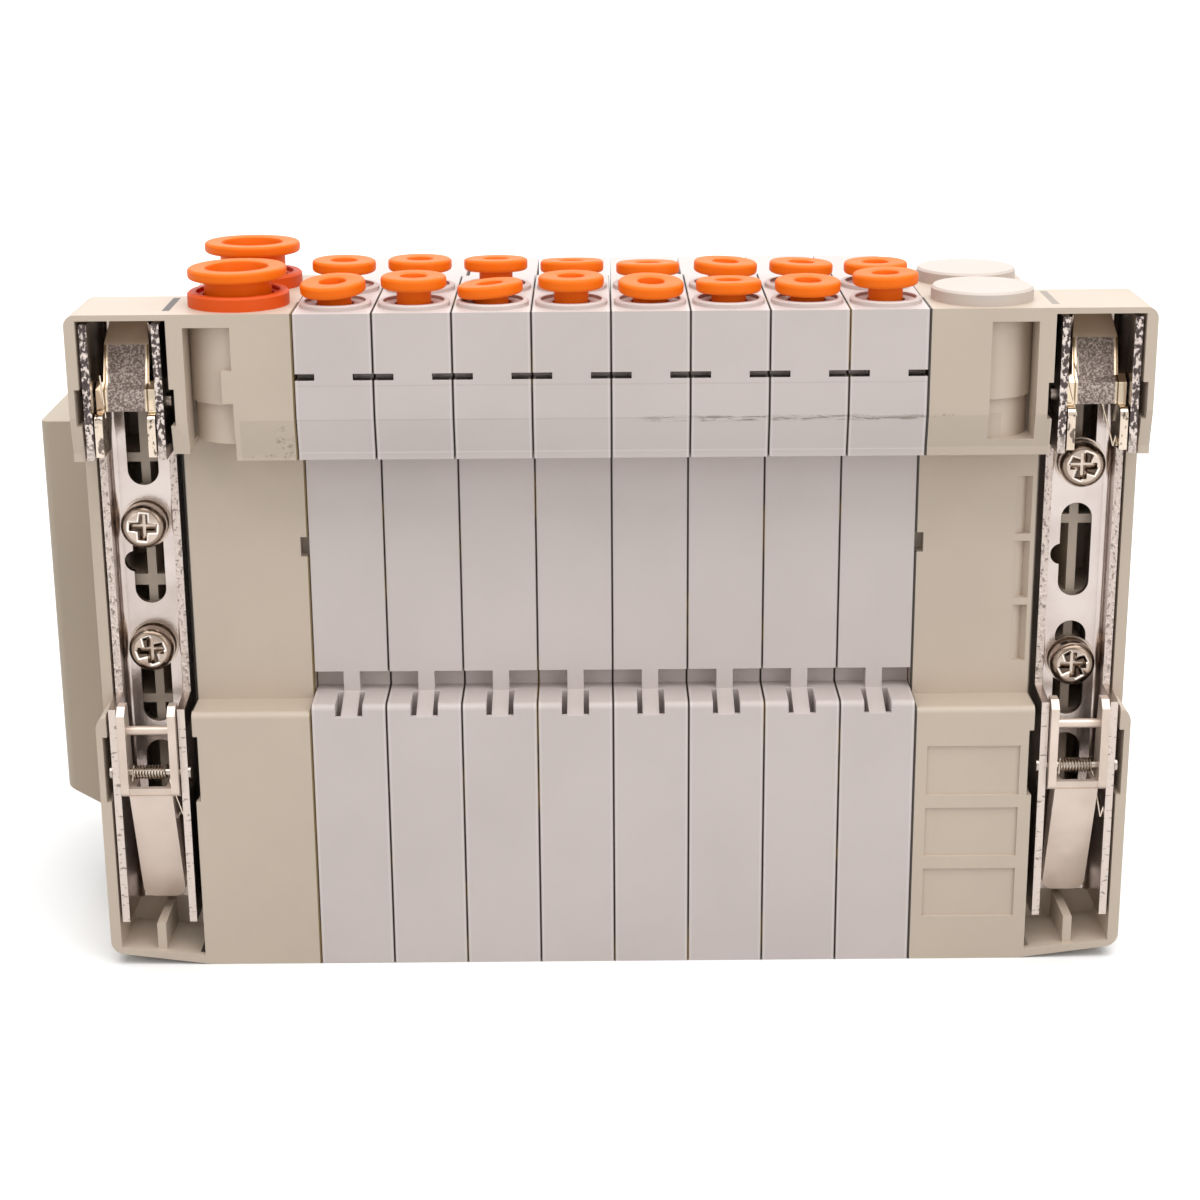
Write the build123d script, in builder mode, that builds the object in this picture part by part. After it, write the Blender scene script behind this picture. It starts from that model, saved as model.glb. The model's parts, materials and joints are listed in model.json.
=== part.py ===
from build123d import *
import os

os.makedirs("parts", exist_ok=True)

# Pneumatic valve island: a row of manifold blocks between two end blocks, standing on its base
# with the tube fittings up. X runs along the rail, -Y faces out of the rail side, +Z is up.
# The origin is on the base, at the middle of the row, under the plane where the rail seats.

# Row of stations
stations = 8
pitch = 10.5
seam = 0.1
block_w = pitch - seam
row_half = stations * pitch / 2
end_w = 30.0
outer_x = row_half + end_w

# Section of the row, in the YZ plane
height = 94.4
lip_h = 20.0
rail_h = 35.0
rail_play = 0.2
slot_top = height - lip_h
shoulder_z = slot_top - rail_h - rail_play
ledge_drop = 1.0
ledge_z = shoulder_z - ledge_drop
lip_reach = 7.8
ledge_reach = 5.95
lip_taper = 1.0
lip_band = 1.2
lip_knee = 6.1
top_r = 1.1
ledge_r = 0.9

# Snap shoulders and tab of each block, and the latch slots at the seams
notch_w = 3.8
tab_gap = 0.75
tab_w = notch_w - 2 * tab_gap
tab_drop = 1.8
gap_depth = 4.0
gap_skin = 0.8
groove_h = 2.9
groove_depth = 3.0
groove_w = (block_w - tab_w) / 2
latch_slot_w = 2.65
latch_slot_h = 0.9
latch_slot_z = slot_top + 11.0
latch_slot_depth = 2.6

# Tube fittings of the stations
tube_d = 3.2
tube_play = 0.2
fit_gap = 0.04
lead_chamfer = 0.45
tilt_pivot_depth = 2.0
stem_wall = 0.6
stem_play = 0.55
stem_l = 5.6
hole_d = tube_d + tube_play
stem_d = hole_d + 2 * stem_wall
guide_d = stem_d + 2 * stem_play
guide_depth = 9.0
ring_gap = 0.85
ring_d = pitch - ring_gap
ring_h = 0.7
ring_seat = 0.375
ring_rim = 0.725
ring_chamfer = 0.2
ring_dish_d = ring_d - 2 * ring_rim
ring_dish_depth = 0.4
port_bore_d = ring_d - 2 * ring_seat
port_bore_depth = 12.0
ring_edge = 1.175
port_front_y = ring_d / 2 + ring_edge - lip_reach
port_row_gap = ring_d + 2.95
flange_inset = 0.575
flange_d = ring_d - 2 * flange_inset
flange_t = 2.0
flange_r = 0.75
collet_wall = 0.35
collet_h = 2.2

# Height of each release button over its ring, and how it leans about X and Y, in degrees
front_lift = (0.95, 1.5, 0.45, 1.35, 0.65, 0.6, 0.55, 1.45)
front_lean_x = (5.0, 0.5, -1.0, 0.5, 5.0, -2.0, 2.5, 0.5)
front_lean_y = (-3.0, 0.5, -5.0, 0.0, 2.0, 0.0, 0.5, -1.5)
back_lift = (1.6, 1.75, 1.65, 1.3, 0.95, 1.1, 0.9, 0.85)
back_lean_x = (0.5, -0.5, -3.0, -4.5, -4.0, 0.5, -1.0, 0.0)
back_lean_y = (1.0, 0.5, 0.0, 0.0, 0.0, 3.0, 2.5, -0.5)

# Supply and exhaust fittings on the left end, plugs on the right end
supply_tube_d = 8.0
supply_stem_wall = 0.4
supply_stem_play = 0.5
supply_stem_l = 7.0
supply_wall = 1.1
collar_seat = 0.7
collar_edge = 1.1
collar_gap = 1.6
collar_rim = 1.2
collar_h = 1.9
collar_chamfer = 0.3
collar_dish_depth = 0.5
supply_hole_d = supply_tube_d + tube_play
supply_stem_d = supply_hole_d + 2 * supply_stem_wall
supply_guide_d = supply_stem_d + 2 * supply_stem_play
supply_guide_depth = 8.6
supply_bore_d = supply_guide_d + 2 * supply_wall
supply_bore_depth = 11.0
collar_d = supply_bore_d + 2 * collar_seat
collar_dish_d = collar_d - 2 * collar_rim
supply_flange_inset = 0.2
supply_flange_d = collar_d - 2 * supply_flange_inset
supply_flange_t = 2.1
supply_x = row_half + collar_d / 2 + collar_edge
supply_y = collar_d / 2 + collar_edge - lip_reach
supply_row_gap = collar_d + collar_gap
supply_lift = (1.65, 2.3)
supply_lean_x = (0.5, -0.5)
supply_lean_y = (-0.5, 0.5)
plug_d = collar_d + 0.1
plug_h = 1.8

# Depth of the blocks and of the end blocks behind the rail
block_wall = 5.95
end_wall = 1.8
base_depth = port_front_y + port_row_gap + port_bore_d / 2 + block_wall
end_depth = supply_y + supply_row_gap + supply_bore_d / 2 + end_wall

# Rail brackets, folded from sheet
sheet = 1.05
bracket_w = 10.6
bracket_bend = 0.8
bracket_seat_y = 4.25
bracket_lip_gap = 0.3
bracket_top_gap = 0.5
bracket_side_gap = 0.4
bracket_foot_gap = 0.65
flange_ramp = 0.6
bracket_inner_w = bracket_w - 2 * sheet
bracket_floor_y = bracket_seat_y - sheet

# Bracket bays in the end blocks
bay_wall = 1.5
bay_play = 1.3
bay_out = outer_x - bay_wall
bay_in = bay_out - bracket_w - bay_play
bay_mid = (bay_in + bay_out) / 2
bay_top = height - 0.8
bay_floor = 1.4
bay_slope = 1.3
bay_rib_w = 1.25
bay_rib_top = 6.05
bay_rib_setback = 0.8
bracket_x = bay_out - bracket_side_gap - bracket_w / 2
bracket_low = bay_rib_top + bracket_foot_gap
bracket_top = bay_top - bracket_top_gap
foot_in = bay_in - 1.0
foot_rise = 1.9
foot_r = 2.0
corner_r = 2.4
cap_r = 1.5
back_step = 6.4
back_step_drop = 4.4

# Bracket screws with captive washers
screw_d = 3.0
screw_l = 8.0
slot_w = screw_d + 1.3
flat_washer_d = bracket_inner_w - 2 * bracket_bend
flat_washer_t = 0.5
screw_head_d = flat_washer_d - 0.6
screw_head_h = 1.9
screw_head_r = 0.8
spring_washer_d = screw_head_d - 0.7
spring_washer_t = 0.7
cross_l = screw_head_d - 2.6
cross_w = 0.95
cross_depth = 1.3
cross_taper = 12.0

# Heights over the rail shoulder of the slots in a bracket, its notch and its screws
slots_up = ((-5.4, 8.6), (12.3, 25.8), (29.4, 50.8))
side_notch_up = 18.4
side_notch_r = 1.5
side_notch_x = 1.9
screws_up_left = (6.2, 24.1)
screws_up_right = (3.0, 31.8)

# Ribbed hollow behind each bracket
crate_w = bracket_w - 2.6
crate_low = bracket_low + 5.3
crate_high = bay_top - 5.6
crate_depth = 12.0
crate_setback = 1.0
crate_rib = 1.3
crate_pitch = 8.8
boss_d = 2 * screw_d

# Rail clips at the top, rail latches at the bottom, and their pins and springs
pin_d = 1.1
pin_head_d = 1.9
pin_head_t = 0.35
pin_notch = 0.65
pin_notch_depth = 1.3
running_gap = 0.05
clip_pin_y = -2.6
clip_pin_z = slot_top + 7.5
latch_pin_y = -5.2
latch_pin_z = shoulder_z - 9.9
clip_notch = (-2.5, 2.5)
latch_notch = (-4.3, 5.4)
latch_window = (-17.3, 1.7)
ear_gap = 0.2
ear_t = 1.1
ear_half = bracket_inner_w / 2 - ear_gap
clip_sheet = 0.9
clip_web_half = ear_half - 1.0
clip_foot = (-2.8, -1.0)
clip_bend = (-0.1, 7.7)
clip_tip = (2.2, 10.5)
clip_web_depth = 2.6
clip_narrowing = 0.6
clip_hook_low = -6.8
clip_hook_r = 1.2
latch_sheet = 0.9
latch_half = ear_half - 1.05
latch_head = (-1.7, -1.9)
latch_foot = (4.7, -21.0)
latch_tongue_depth = 3.9
latch_end_r = 1.6
latch_hook_high = 9.9
latch_hook_front = -1.7
hook_bar_d = 1.3
hook_bar_y = 0.2
hook_bar_z = 6.1
coil_wall = 0.35
coil_gap = 0.08
coil_end_gap = 0.15
coil_r = pin_d / 2 + coil_gap + coil_wall

# Pocket beside the supply ports
pocket_w = 6.2
pocket_bay_wall = 2.2
pocket_out = bay_in - pocket_bay_wall
pocket_in = pocket_out - pocket_w
pocket_top = height - 1.8
pocket_low = slot_top + 2.2
pocket_depth = 6.4
port_boss_wall = 0.9
port_boss_r = supply_bore_d / 2 + port_boss_wall
port_boss_step = 0.5
port_boss_step_z = slot_top + 7.6
wall_foot_z = slot_top + 1.0
catch_low = slot_top + 8.0
catch_h = 4.4
catch_w = 1.4

# Small features of the recess and lower face
key_w = 1.1
key_h = 2.8
key_z = shoulder_z + 19.8
key_depth = 2.0
flute_w = 2.2
flute_h = 8.2
flute_rib = 1.05
flute_depth = 1.3
flute_tip = 0.72
flute_in = bay_in - 2.9
flute_low = shoulder_z + 3.8
window_in = row_half + 1.8
window_w = bay_in - 1.8 - window_in
window_h = 7.35
window_rib = 1.9
window_depth = 0.35
window_low = 6.6
windows = 3
flutes = 3

# Valves on the hidden side
valve_gap = 0.5
valve_w = pitch - valve_gap
valve_depth = 32.0
valve_h = height - 2.4
valve_edge = 1.2
split_w = 0.5
split_depth = 0.4
split_z = (25.5, valve_h - 13.0)
lens_w = 4.0
lens_h = 3.0
lens_z = valve_h - 7.8
lens_depth = 0.5
override_d = 3.0
override_gap = 0.15
override_z = 17.5
override_l = 4.5
override_proud = 0.5
override_stroke = 1.0
override_end_gap = 0.2
override_slot_w = 0.6
override_slot_depth = 0.5
valve_screw_d = 2.0
valve_screw_head_d = 3.6
valve_screw_head_h = 1.6
valve_screw_head_gap = 0.2
valve_screw_sink = 2.0
valve_screw_bite = 4.5
valve_screw_end_gap = 0.2
valve_screw_z = (7.0, valve_h - 3.5)

# Cable connector housing at the back of the left end
housing_reach = 8.7
housing_inset = 2.0
housing_out = outer_x + housing_reach
housing_in = row_half + housing_inset
housing_front_y = 12.2
housing_top = 75.7
housing_low = 15.3
housing_rise = 5.1
housing_depth = 31.0
housing_gap = 0.1
housing_r = 1.2
plate_l = 33.0
plate_w = 12.4
plate_t = 0.8
plate_x = (housing_out + housing_in) / 2
plate_y = end_depth + 12.8
shell_l = plate_l - 8.0
shell_w = plate_w - 4.0
shell_h = 5.5
shell_wall = 0.7
shell_slope = 10.0
socket_drop = 6.0
socket_rise = 2.75
post_d = 4.6
post_h = 3.6
post_gap = (shell_l + plate_l) / 2 - 0.8


def station_x(station):
    return (station - (stations - 1) / 2) * pitch


def port_y(row):
    return port_front_y + row * port_row_gap


def supply_port_y(row):
    return supply_y + row * supply_row_gap


def save(part, label):
    part.label = label
    export_step(part, f"parts/{label}.step")


def body_section(ledge_top, depth):
    # Section in local (Y, Z), with the front edges and the back edge rounded
    with BuildLine() as outline:
        Polyline(
            (depth, 0), (-ledge_reach, 0), (-ledge_reach, ledge_top), (0, ledge_top),
            (0, slot_top), (lip_taper - lip_reach, slot_top), (lip_taper - lip_reach, slot_top + lip_band),
            (-lip_reach, slot_top + lip_knee), (-lip_reach, height), (depth, height), close=True,
        )
    section = make_face(outline.edges())
    ledge_corner = section.vertices().sort_by_distance((-ledge_reach, ledge_top))[0]
    top_corners = [section.vertices().sort_by_distance((y, height))[0] for y in (-lip_reach, depth)]
    fillet(ledge_corner, ledge_r)
    fillet(top_corners, top_r)


def turned(plane, radii_and_heights):
    # A ring turned about the plane's Z axis, from a closed profile of (radius, height) points
    profile_plane = Plane(origin=plane.origin, x_dir=plane.x_dir, z_dir=-plane.y_dir)
    with BuildSketch(profile_plane) as profile:
        with BuildLine():
            Polyline(*radii_and_heights, close=True)
        make_face()
    revolve(profile.sketch, axis=Axis(plane.origin, plane.z_dir))


def manifold_block(station):
    x = station_x(station)
    notch_foot = shoulder_z - tab_drop
    with BuildPart() as block:
        with BuildSketch(Plane.YZ.offset(x)):
            body_section(shoulder_z, base_depth)
        extrude(amount=block_w / 2, both=True)
        # Sloped tab between the two snap shoulders
        with BuildSketch(Plane.YZ.offset(x)):
            with BuildLine():
                Polyline((0, shoulder_z), (-ledge_reach, notch_foot), (-ledge_reach, shoulder_z), close=True)
            make_face()
        extrude(amount=notch_w / 2, both=True, mode=Mode.SUBTRACT)
        for side in (-1, 1):
            gap_x = x + side * (tab_w + tab_gap) / 2
            with Locations((gap_x, 0, notch_foot)):
                Box(tab_gap, ledge_reach, tab_drop, align=(Align.CENTER, Align.MAX, Align.MIN),
                    mode=Mode.SUBTRACT)
            with Locations((gap_x, 0, notch_foot)):
                Box(tab_gap, ledge_reach - gap_skin, gap_depth, align=(Align.CENTER, Align.MAX, Align.MAX),
                    mode=Mode.SUBTRACT)
            # Groove behind the shoulders, and half of the latch slot at each seam
            with Locations((x + side * block_w / 2, 0, shoulder_z)):
                Box(2 * groove_w, groove_depth, groove_h, align=(Align.CENTER, Align.MIN, Align.MIN),
                    mode=Mode.SUBTRACT)
            with Locations((x + side * block_w / 2, -lip_reach, latch_slot_z)):
                Box(2 * latch_slot_w, latch_slot_depth, latch_slot_h,
                    align=(Align.CENTER, Align.MIN, Align.MIN), mode=Mode.SUBTRACT)
        with Locations(*[(x, port_y(row), height) for row in (0, 1)]):
            Hole(radius=port_bore_d / 2, depth=port_bore_depth)
        with Locations(*[Plane(origin=(x, base_depth, z), z_dir=(0, 1, 0)).location for z in valve_screw_z]):
            Hole(radius=valve_screw_d / 2 + fit_gap / 2, depth=valve_screw_bite)
    return block.part


def end_block(side, screws_up):
    # side is -1 for the left end and 1 for the right end; lengths along X are taken outwards
    with BuildPart() as block:
        with BuildSketch(Plane.YZ.offset(side * (row_half + end_w / 2))):
            body_section(ledge_z, end_depth)
        extrude(amount=end_w / 2, both=True)
        # Outline seen from the rail side: the foot rises towards the outer corner
        with BuildSketch(Plane.XZ.offset(-end_depth)) as outline:
            with BuildLine():
                Polyline((side * row_half, 0), (side * foot_in, 0), (side * outer_x, foot_rise),
                         (side * outer_x, height), (side * row_half, height), close=True)
            make_face()
            fillet(outline.vertices().sort_by_distance((side * outer_x, foot_rise))[0], foot_r)
            fillet(outline.vertices().sort_by_distance((side * outer_x, height))[0], cap_r)
        extrude(amount=end_depth + lip_reach, mode=Mode.INTERSECT)
        with BuildSketch(Plane.XZ):
            with Locations((side * (outer_x - corner_r), ledge_z - corner_r)):
                Rectangle(2 * corner_r, 2 * corner_r,
                          align=(Align.MIN if side > 0 else Align.MAX, Align.MIN))
                Circle(corner_r, mode=Mode.SUBTRACT)
        extrude(amount=ledge_reach, mode=Mode.SUBTRACT)
        # Step down at the back of the bracket end
        with Locations((side * foot_in, back_step, height - back_step_drop)):
            Box(2 * (outer_x - foot_in), end_depth, 2 * back_step_drop,
                align=(Align.MIN if side > 0 else Align.MAX, Align.MIN, Align.MIN), mode=Mode.SUBTRACT)
        # Bay for the rail bracket, open to the front
        with BuildSketch(Plane.XZ.offset(-bracket_seat_y)):
            with BuildLine():
                Polyline((side * bay_in, bay_floor), (side * bay_out, bay_floor + bay_slope),
                         (side * bay_out, bay_top), (side * bay_in, bay_top), close=True)
            make_face()
        extrude(amount=bracket_seat_y + lip_reach, mode=Mode.SUBTRACT)
        with Locations((side * bracket_x, bay_rib_setback - ledge_reach, bay_floor)):
            Box(bay_rib_w, ledge_reach - bay_rib_setback + bracket_seat_y, bay_rib_top - bay_floor,
                align=(Align.CENTER, Align.MIN, Align.MIN))
        # Room for the heads of the pivot pins
        for pin_z, (low, high) in ((clip_pin_z, clip_notch), (latch_pin_z, latch_notch)):
            with Locations((side * bay_mid, bracket_seat_y - pin_notch_depth, pin_z + low)):
                Box(bay_out - bay_in + 2 * pin_notch, lip_reach + bracket_seat_y, high - low,
                    align=(Align.CENTER, Align.MAX, Align.MIN), mode=Mode.SUBTRACT)
        # Ribbed hollow behind the bracket, with a boss for each screw
        with Locations((side * bracket_x, bracket_seat_y, crate_low)):
            Box(crate_w, crate_depth, crate_high - crate_low, align=(Align.CENTER, Align.MIN, Align.MIN),
                mode=Mode.SUBTRACT)
        rib_y = bracket_seat_y + crate_setback
        with Locations((side * bracket_x, rib_y, crate_low)):
            Box(bay_rib_w, crate_depth - crate_setback, crate_high - crate_low,
                align=(Align.CENTER, Align.MIN, Align.MIN))
        rib_heights = [shoulder_z + up + turn * crate_pitch for up in screws_up for turn in (-1, 1)]
        with Locations(*[(side * bracket_x, rib_y, z) for z in rib_heights]):
            Box(crate_w, crate_depth - crate_setback, crate_rib,
                align=(Align.CENTER, Align.MIN, Align.CENTER))
        screw_planes = [Plane(origin=(side * bracket_x, bracket_seat_y, shoulder_z + up), z_dir=(0, -1, 0))
                        for up in screws_up]
        with Locations(*[plane.location for plane in screw_planes]):
            Cylinder(boss_d / 2, crate_depth, align=(Align.CENTER, Align.CENTER, Align.MAX))
        with Locations(*[plane.location for plane in screw_planes]):
            Hole(radius=screw_d / 2 + fit_gap / 2, depth=screw_l)
        # Pocket beside the ports, with the wall of the port bore standing in it
        pocket_floor = slot_top - seam if side < 0 else pocket_low
        port_center = (side * supply_x, supply_port_y(0))
        for low, high, radius in (
            (pocket_low if side < 0 else pocket_floor, port_boss_step_z, port_boss_r - port_boss_step),
            (port_boss_step_z, pocket_top, port_boss_r),
        ):
            with BuildSketch(Plane.XY.offset(low)):
                with Locations((side * pocket_in, -lip_reach)):
                    Rectangle(pocket_out - pocket_in, pocket_depth,
                              align=(Align.MIN if side > 0 else Align.MAX, Align.MIN))
                with Locations(port_center):
                    Circle(radius, mode=Mode.SUBTRACT)
            extrude(amount=high - low, mode=Mode.SUBTRACT)
        if side < 0:
            # On the left the pocket opens downwards, and its wall ends above the rail slot
            with BuildSketch(Plane.XZ.offset(0)):
                with BuildLine():
                    Polyline((-bay_in, slot_top), (-bay_in, wall_foot_z),
                             (-pocket_out - seam, wall_foot_z), (-pocket_out + seam, pocket_low),
                             (-pocket_in, pocket_low), (-pocket_in, slot_top), close=True)
                make_face()
            extrude(amount=lip_reach, mode=Mode.SUBTRACT)
            with Locations((-pocket_in, -lip_reach, catch_low)):
                Box(catch_w, catch_w, catch_h, align=(Align.MAX, Align.MIN, Align.MIN))
        for row in (0, 1):
            with Locations((side * supply_x, supply_port_y(row), height)):
                Hole(radius=supply_bore_d / 2, depth=supply_bore_depth)
        # Key slot at the seam with the row
        with Locations((side * row_half, 0, key_z)):
            Box(key_w, key_depth, key_h, align=(Align.MIN if side > 0 else Align.MAX, Align.MIN, Align.MIN),
                mode=Mode.SUBTRACT)
        if side > 0:
            with BuildSketch(Plane.XZ.offset(ledge_reach)):
                corners = [(window_in, window_low + i * (window_h + window_rib)) for i in range(windows)]
                with Locations(*corners):
                    Rectangle(window_w, window_h, align=(Align.MIN, Align.MIN))
            extrude(amount=-window_depth, mode=Mode.SUBTRACT)
            for i in range(flutes):
                with BuildSketch(Plane.XY.offset(flute_low + i * (flute_h + flute_rib))):
                    with BuildLine():
                        Polyline((flute_in, 0), (flute_in + flute_w, 0),
                                 (flute_in + flute_tip * flute_w, flute_depth), close=True)
                    make_face()
                extrude(amount=flute_h, mode=Mode.SUBTRACT)
    return block.part


def port_cartridges():
    bore_r = port_bore_d / 2 - fit_gap
    with BuildPart() as cartridges:
        for row in (0, 1):
            for station in range(stations):
                turned(
                    Plane(origin=(station_x(station), port_y(row), height)),
                    [(guide_d / 2, ring_h - ring_dish_depth), (ring_dish_d / 2, ring_h - ring_dish_depth),
                     (ring_dish_d / 2, ring_h), (ring_d / 2 - ring_chamfer, ring_h),
                     (ring_d / 2, ring_h - ring_chamfer), (ring_d / 2, 0), (bore_r, 0),
                     (bore_r, -port_bore_depth + fit_gap), (hole_d / 2, -port_bore_depth + fit_gap),
                     (hole_d / 2, -guide_depth), (guide_d / 2, -guide_depth)],
                )
    return cartridges.part


def supply_collars():
    bore_r = supply_bore_d / 2 - fit_gap
    with BuildPart() as collars:
        for row in (0, 1):
            turned(
                Plane(origin=(-supply_x, supply_port_y(row), height)),
                [(supply_guide_d / 2, collar_h - collar_dish_depth),
                 (collar_dish_d / 2, collar_h - collar_dish_depth), (collar_dish_d / 2, collar_h),
                 (collar_d / 2 - collar_chamfer, collar_h), (collar_d / 2, collar_h - collar_chamfer),
                 (collar_d / 2, 0), (bore_r, 0),
                 (bore_r, -supply_bore_depth + fit_gap), (supply_hole_d / 2, -supply_bore_depth + fit_gap),
                 (supply_hole_d / 2, -supply_guide_depth), (supply_guide_d / 2, -supply_guide_depth)],
            )
    return collars.part


def port_plugs():
    bore_r = supply_bore_d / 2 - fit_gap
    with BuildPart() as plugs:
        for row in (0, 1):
            turned(
                Plane(origin=(supply_x, supply_port_y(row), height)),
                [(0, plug_h), (plug_d / 2 - collar_chamfer, plug_h), (plug_d / 2, plug_h - collar_chamfer),
                 (plug_d / 2, 0), (bore_r, 0), (bore_r, -supply_bore_depth + fit_gap),
                 (0, -supply_bore_depth + fit_gap)],
            )
    return plugs.part


def tube_collets():
    # Gripping rings at the foot of each fitting's guide
    with BuildPart() as collets:
        small_r = guide_d / 2 - fit_gap
        large_r = supply_guide_d / 2 - fit_gap
        for row in (0, 1):
            places = [(station_x(station), port_y(row), -guide_depth, small_r) for station in range(stations)]
            places.append((-supply_x, supply_port_y(row), -supply_guide_depth, large_r))
            for x, y, seat, radius in places:
                turned(
                    Plane(origin=(x, y, height + seat)),
                    [(radius - collet_wall, 0), (radius, 0), (radius, collet_h),
                     (radius - collet_wall, collet_h)],
                )
    return collets.part


def button_plane(x, y, rim_z, lean_x, lean_y):
    # The button leans about a point on its axis, a little below the rim of its ring
    pivot = Plane(origin=(x, y, rim_z - tilt_pivot_depth))
    return pivot.rotated((lean_x, lean_y, 0))


def release_button(plane, lift, flange_dia, flange_thick, stem_dia, stem_len, hole_dia):
    under = tilt_pivot_depth + lift
    top = under + flange_thick
    profile_plane = Plane(origin=plane.origin, x_dir=plane.x_dir, z_dir=-plane.y_dir)
    with BuildPart() as button:
        with BuildSketch(profile_plane) as profile:
            with BuildLine():
                Polyline(
                    (hole_dia / 2, under - stem_len), (stem_dia / 2, under - stem_len), (stem_dia / 2, under),
                    (flange_dia / 2, under), (flange_dia / 2, top), (hole_dia / 2 + lead_chamfer, top),
                    (hole_dia / 2, top - lead_chamfer), close=True,
                )
            make_face()
            fillet(profile.vertices().sort_by(Axis.X)[-2:], flange_r)
        revolve(axis=Axis(plane.origin, plane.z_dir))
    return button.part


def rail_bracket(x):
    with BuildPart() as bracket:
        with BuildSketch(Plane.YZ.offset(x)):
            with BuildLine():
                Polyline(
                    (bracket_seat_y, bracket_low), (-ledge_reach, bracket_low),
                    (-ledge_reach, ledge_z + flange_ramp), (0, shoulder_z + rail_play),
                    (0, slot_top + bracket_lip_gap),
                    (bracket_lip_gap - lip_reach, slot_top + bracket_lip_gap),
                    (bracket_lip_gap - lip_reach, bracket_top), (bracket_seat_y, bracket_top), close=True,
                )
            make_face()
        extrude(amount=bracket_w / 2, both=True)
        # Inside of the channel, with its bends
        with BuildSketch(Plane.XY.offset(bracket_low)):
            with Locations((x, bracket_floor_y)):
                channel = Rectangle(bracket_inner_w, bracket_floor_y + 2 * lip_reach,
                                    align=(Align.CENTER, Align.MAX))
            fillet(channel.vertices().group_by(Axis.Y)[-1], bracket_bend)
        extrude(amount=bracket_top - bracket_low, mode=Mode.SUBTRACT)
        # Slots for the screws, the keyhole notch and the window behind the latch
        slot_spans = [(shoulder_z + low, shoulder_z + high) for low, high in slots_up]
        slot_spans.append((latch_pin_z + latch_window[0], latch_pin_z + latch_window[1]))
        with BuildSketch(Plane.XZ.offset(-bracket_seat_y)):
            for low, high in slot_spans:
                with Locations((x, (low + high) / 2)):
                    SlotOverall(high - low, slot_w, rotation=90)
            with Locations((x - side_notch_x, shoulder_z + side_notch_up)):
                Circle(side_notch_r)
        extrude(amount=sheet + bracket_bend, mode=Mode.SUBTRACT)
        for pin_y, pin_z in ((clip_pin_y, clip_pin_z), (latch_pin_y, latch_pin_z)):
            with Locations(Plane(origin=(x, pin_y, pin_z), z_dir=(1, 0, 0)).location):
                Cylinder(pin_d / 2 + fit_gap / 2, bracket_w + sheet, mode=Mode.SUBTRACT)
    return bracket.part


def bracket_screws():
    places = [(-bracket_x, up) for up in screws_up_left] + [(bracket_x, up) for up in screws_up_right]
    under_head = flat_washer_t + spring_washer_t
    head_top = under_head + screw_head_h
    with BuildPart() as screws:
        for x, up in places:
            seat = Plane(origin=(x, bracket_floor_y, shoulder_z + up), x_dir=(1, 0, 0), z_dir=(0, -1, 0))
            with BuildSketch(Plane(origin=seat.origin, x_dir=seat.x_dir, z_dir=-seat.y_dir)) as profile:
                with BuildLine():
                    Polyline(
                        (0, sheet - screw_l), (screw_d / 2, sheet - screw_l), (screw_d / 2, 0),
                        (flat_washer_d / 2, 0),
                        (flat_washer_d / 2, flat_washer_t), (spring_washer_d / 2, flat_washer_t),
                        (spring_washer_d / 2, under_head), (screw_head_d / 2, under_head),
                        (screw_head_d / 2, head_top), (0, head_top), close=True,
                    )
                make_face()
                fillet(profile.vertices().sort_by_distance((screw_head_d / 2, head_top))[0], screw_head_r)
            revolve(axis=Axis(seat.origin, seat.z_dir))
            with BuildSketch(seat.offset(head_top)):
                Rectangle(cross_l, cross_w)
                Rectangle(cross_w, cross_l)
            extrude(amount=-cross_depth, taper=cross_taper, mode=Mode.SUBTRACT)
    return screws.part


def pin_plane(x, pin_y, pin_z):
    # Local X is the part's Y and local Y is its Z, both measured from the pin
    return Plane(origin=(x, pin_y, pin_z), x_dir=(0, 1, 0), z_dir=(1, 0, 0))


def pivot_pins():
    half = bracket_w / 2
    with BuildPart() as pins:
        for side in (-1, 1):
            for pin_y, pin_z in ((clip_pin_y, clip_pin_z), (latch_pin_y, latch_pin_z)):
                with Locations(pin_plane(side * bracket_x, pin_y, pin_z).location):
                    Cylinder(pin_d / 2, bracket_w + 2 * pin_head_t)
                    with Locations((0, 0, half + pin_head_t / 2), (0, 0, -half - pin_head_t / 2)):
                        Cylinder(pin_head_d / 2, pin_head_t)
    return pins.part


def torsion_springs():
    with BuildPart() as springs:
        for side in (-1, 1):
            for pin_y, pin_z, room in (
                (clip_pin_y, clip_pin_z, clip_web_half - clip_sheet),
                (latch_pin_y, latch_pin_z, ear_half - ear_t),
            ):
                half = room - coil_end_gap
                with BuildSketch(pin_plane(side * bracket_x - half, pin_y, pin_z)):
                    Circle(coil_r)
                    Circle(coil_r - coil_wall, mode=Mode.SUBTRACT)
                extrude(amount=2 * half)
    return springs.part


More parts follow.
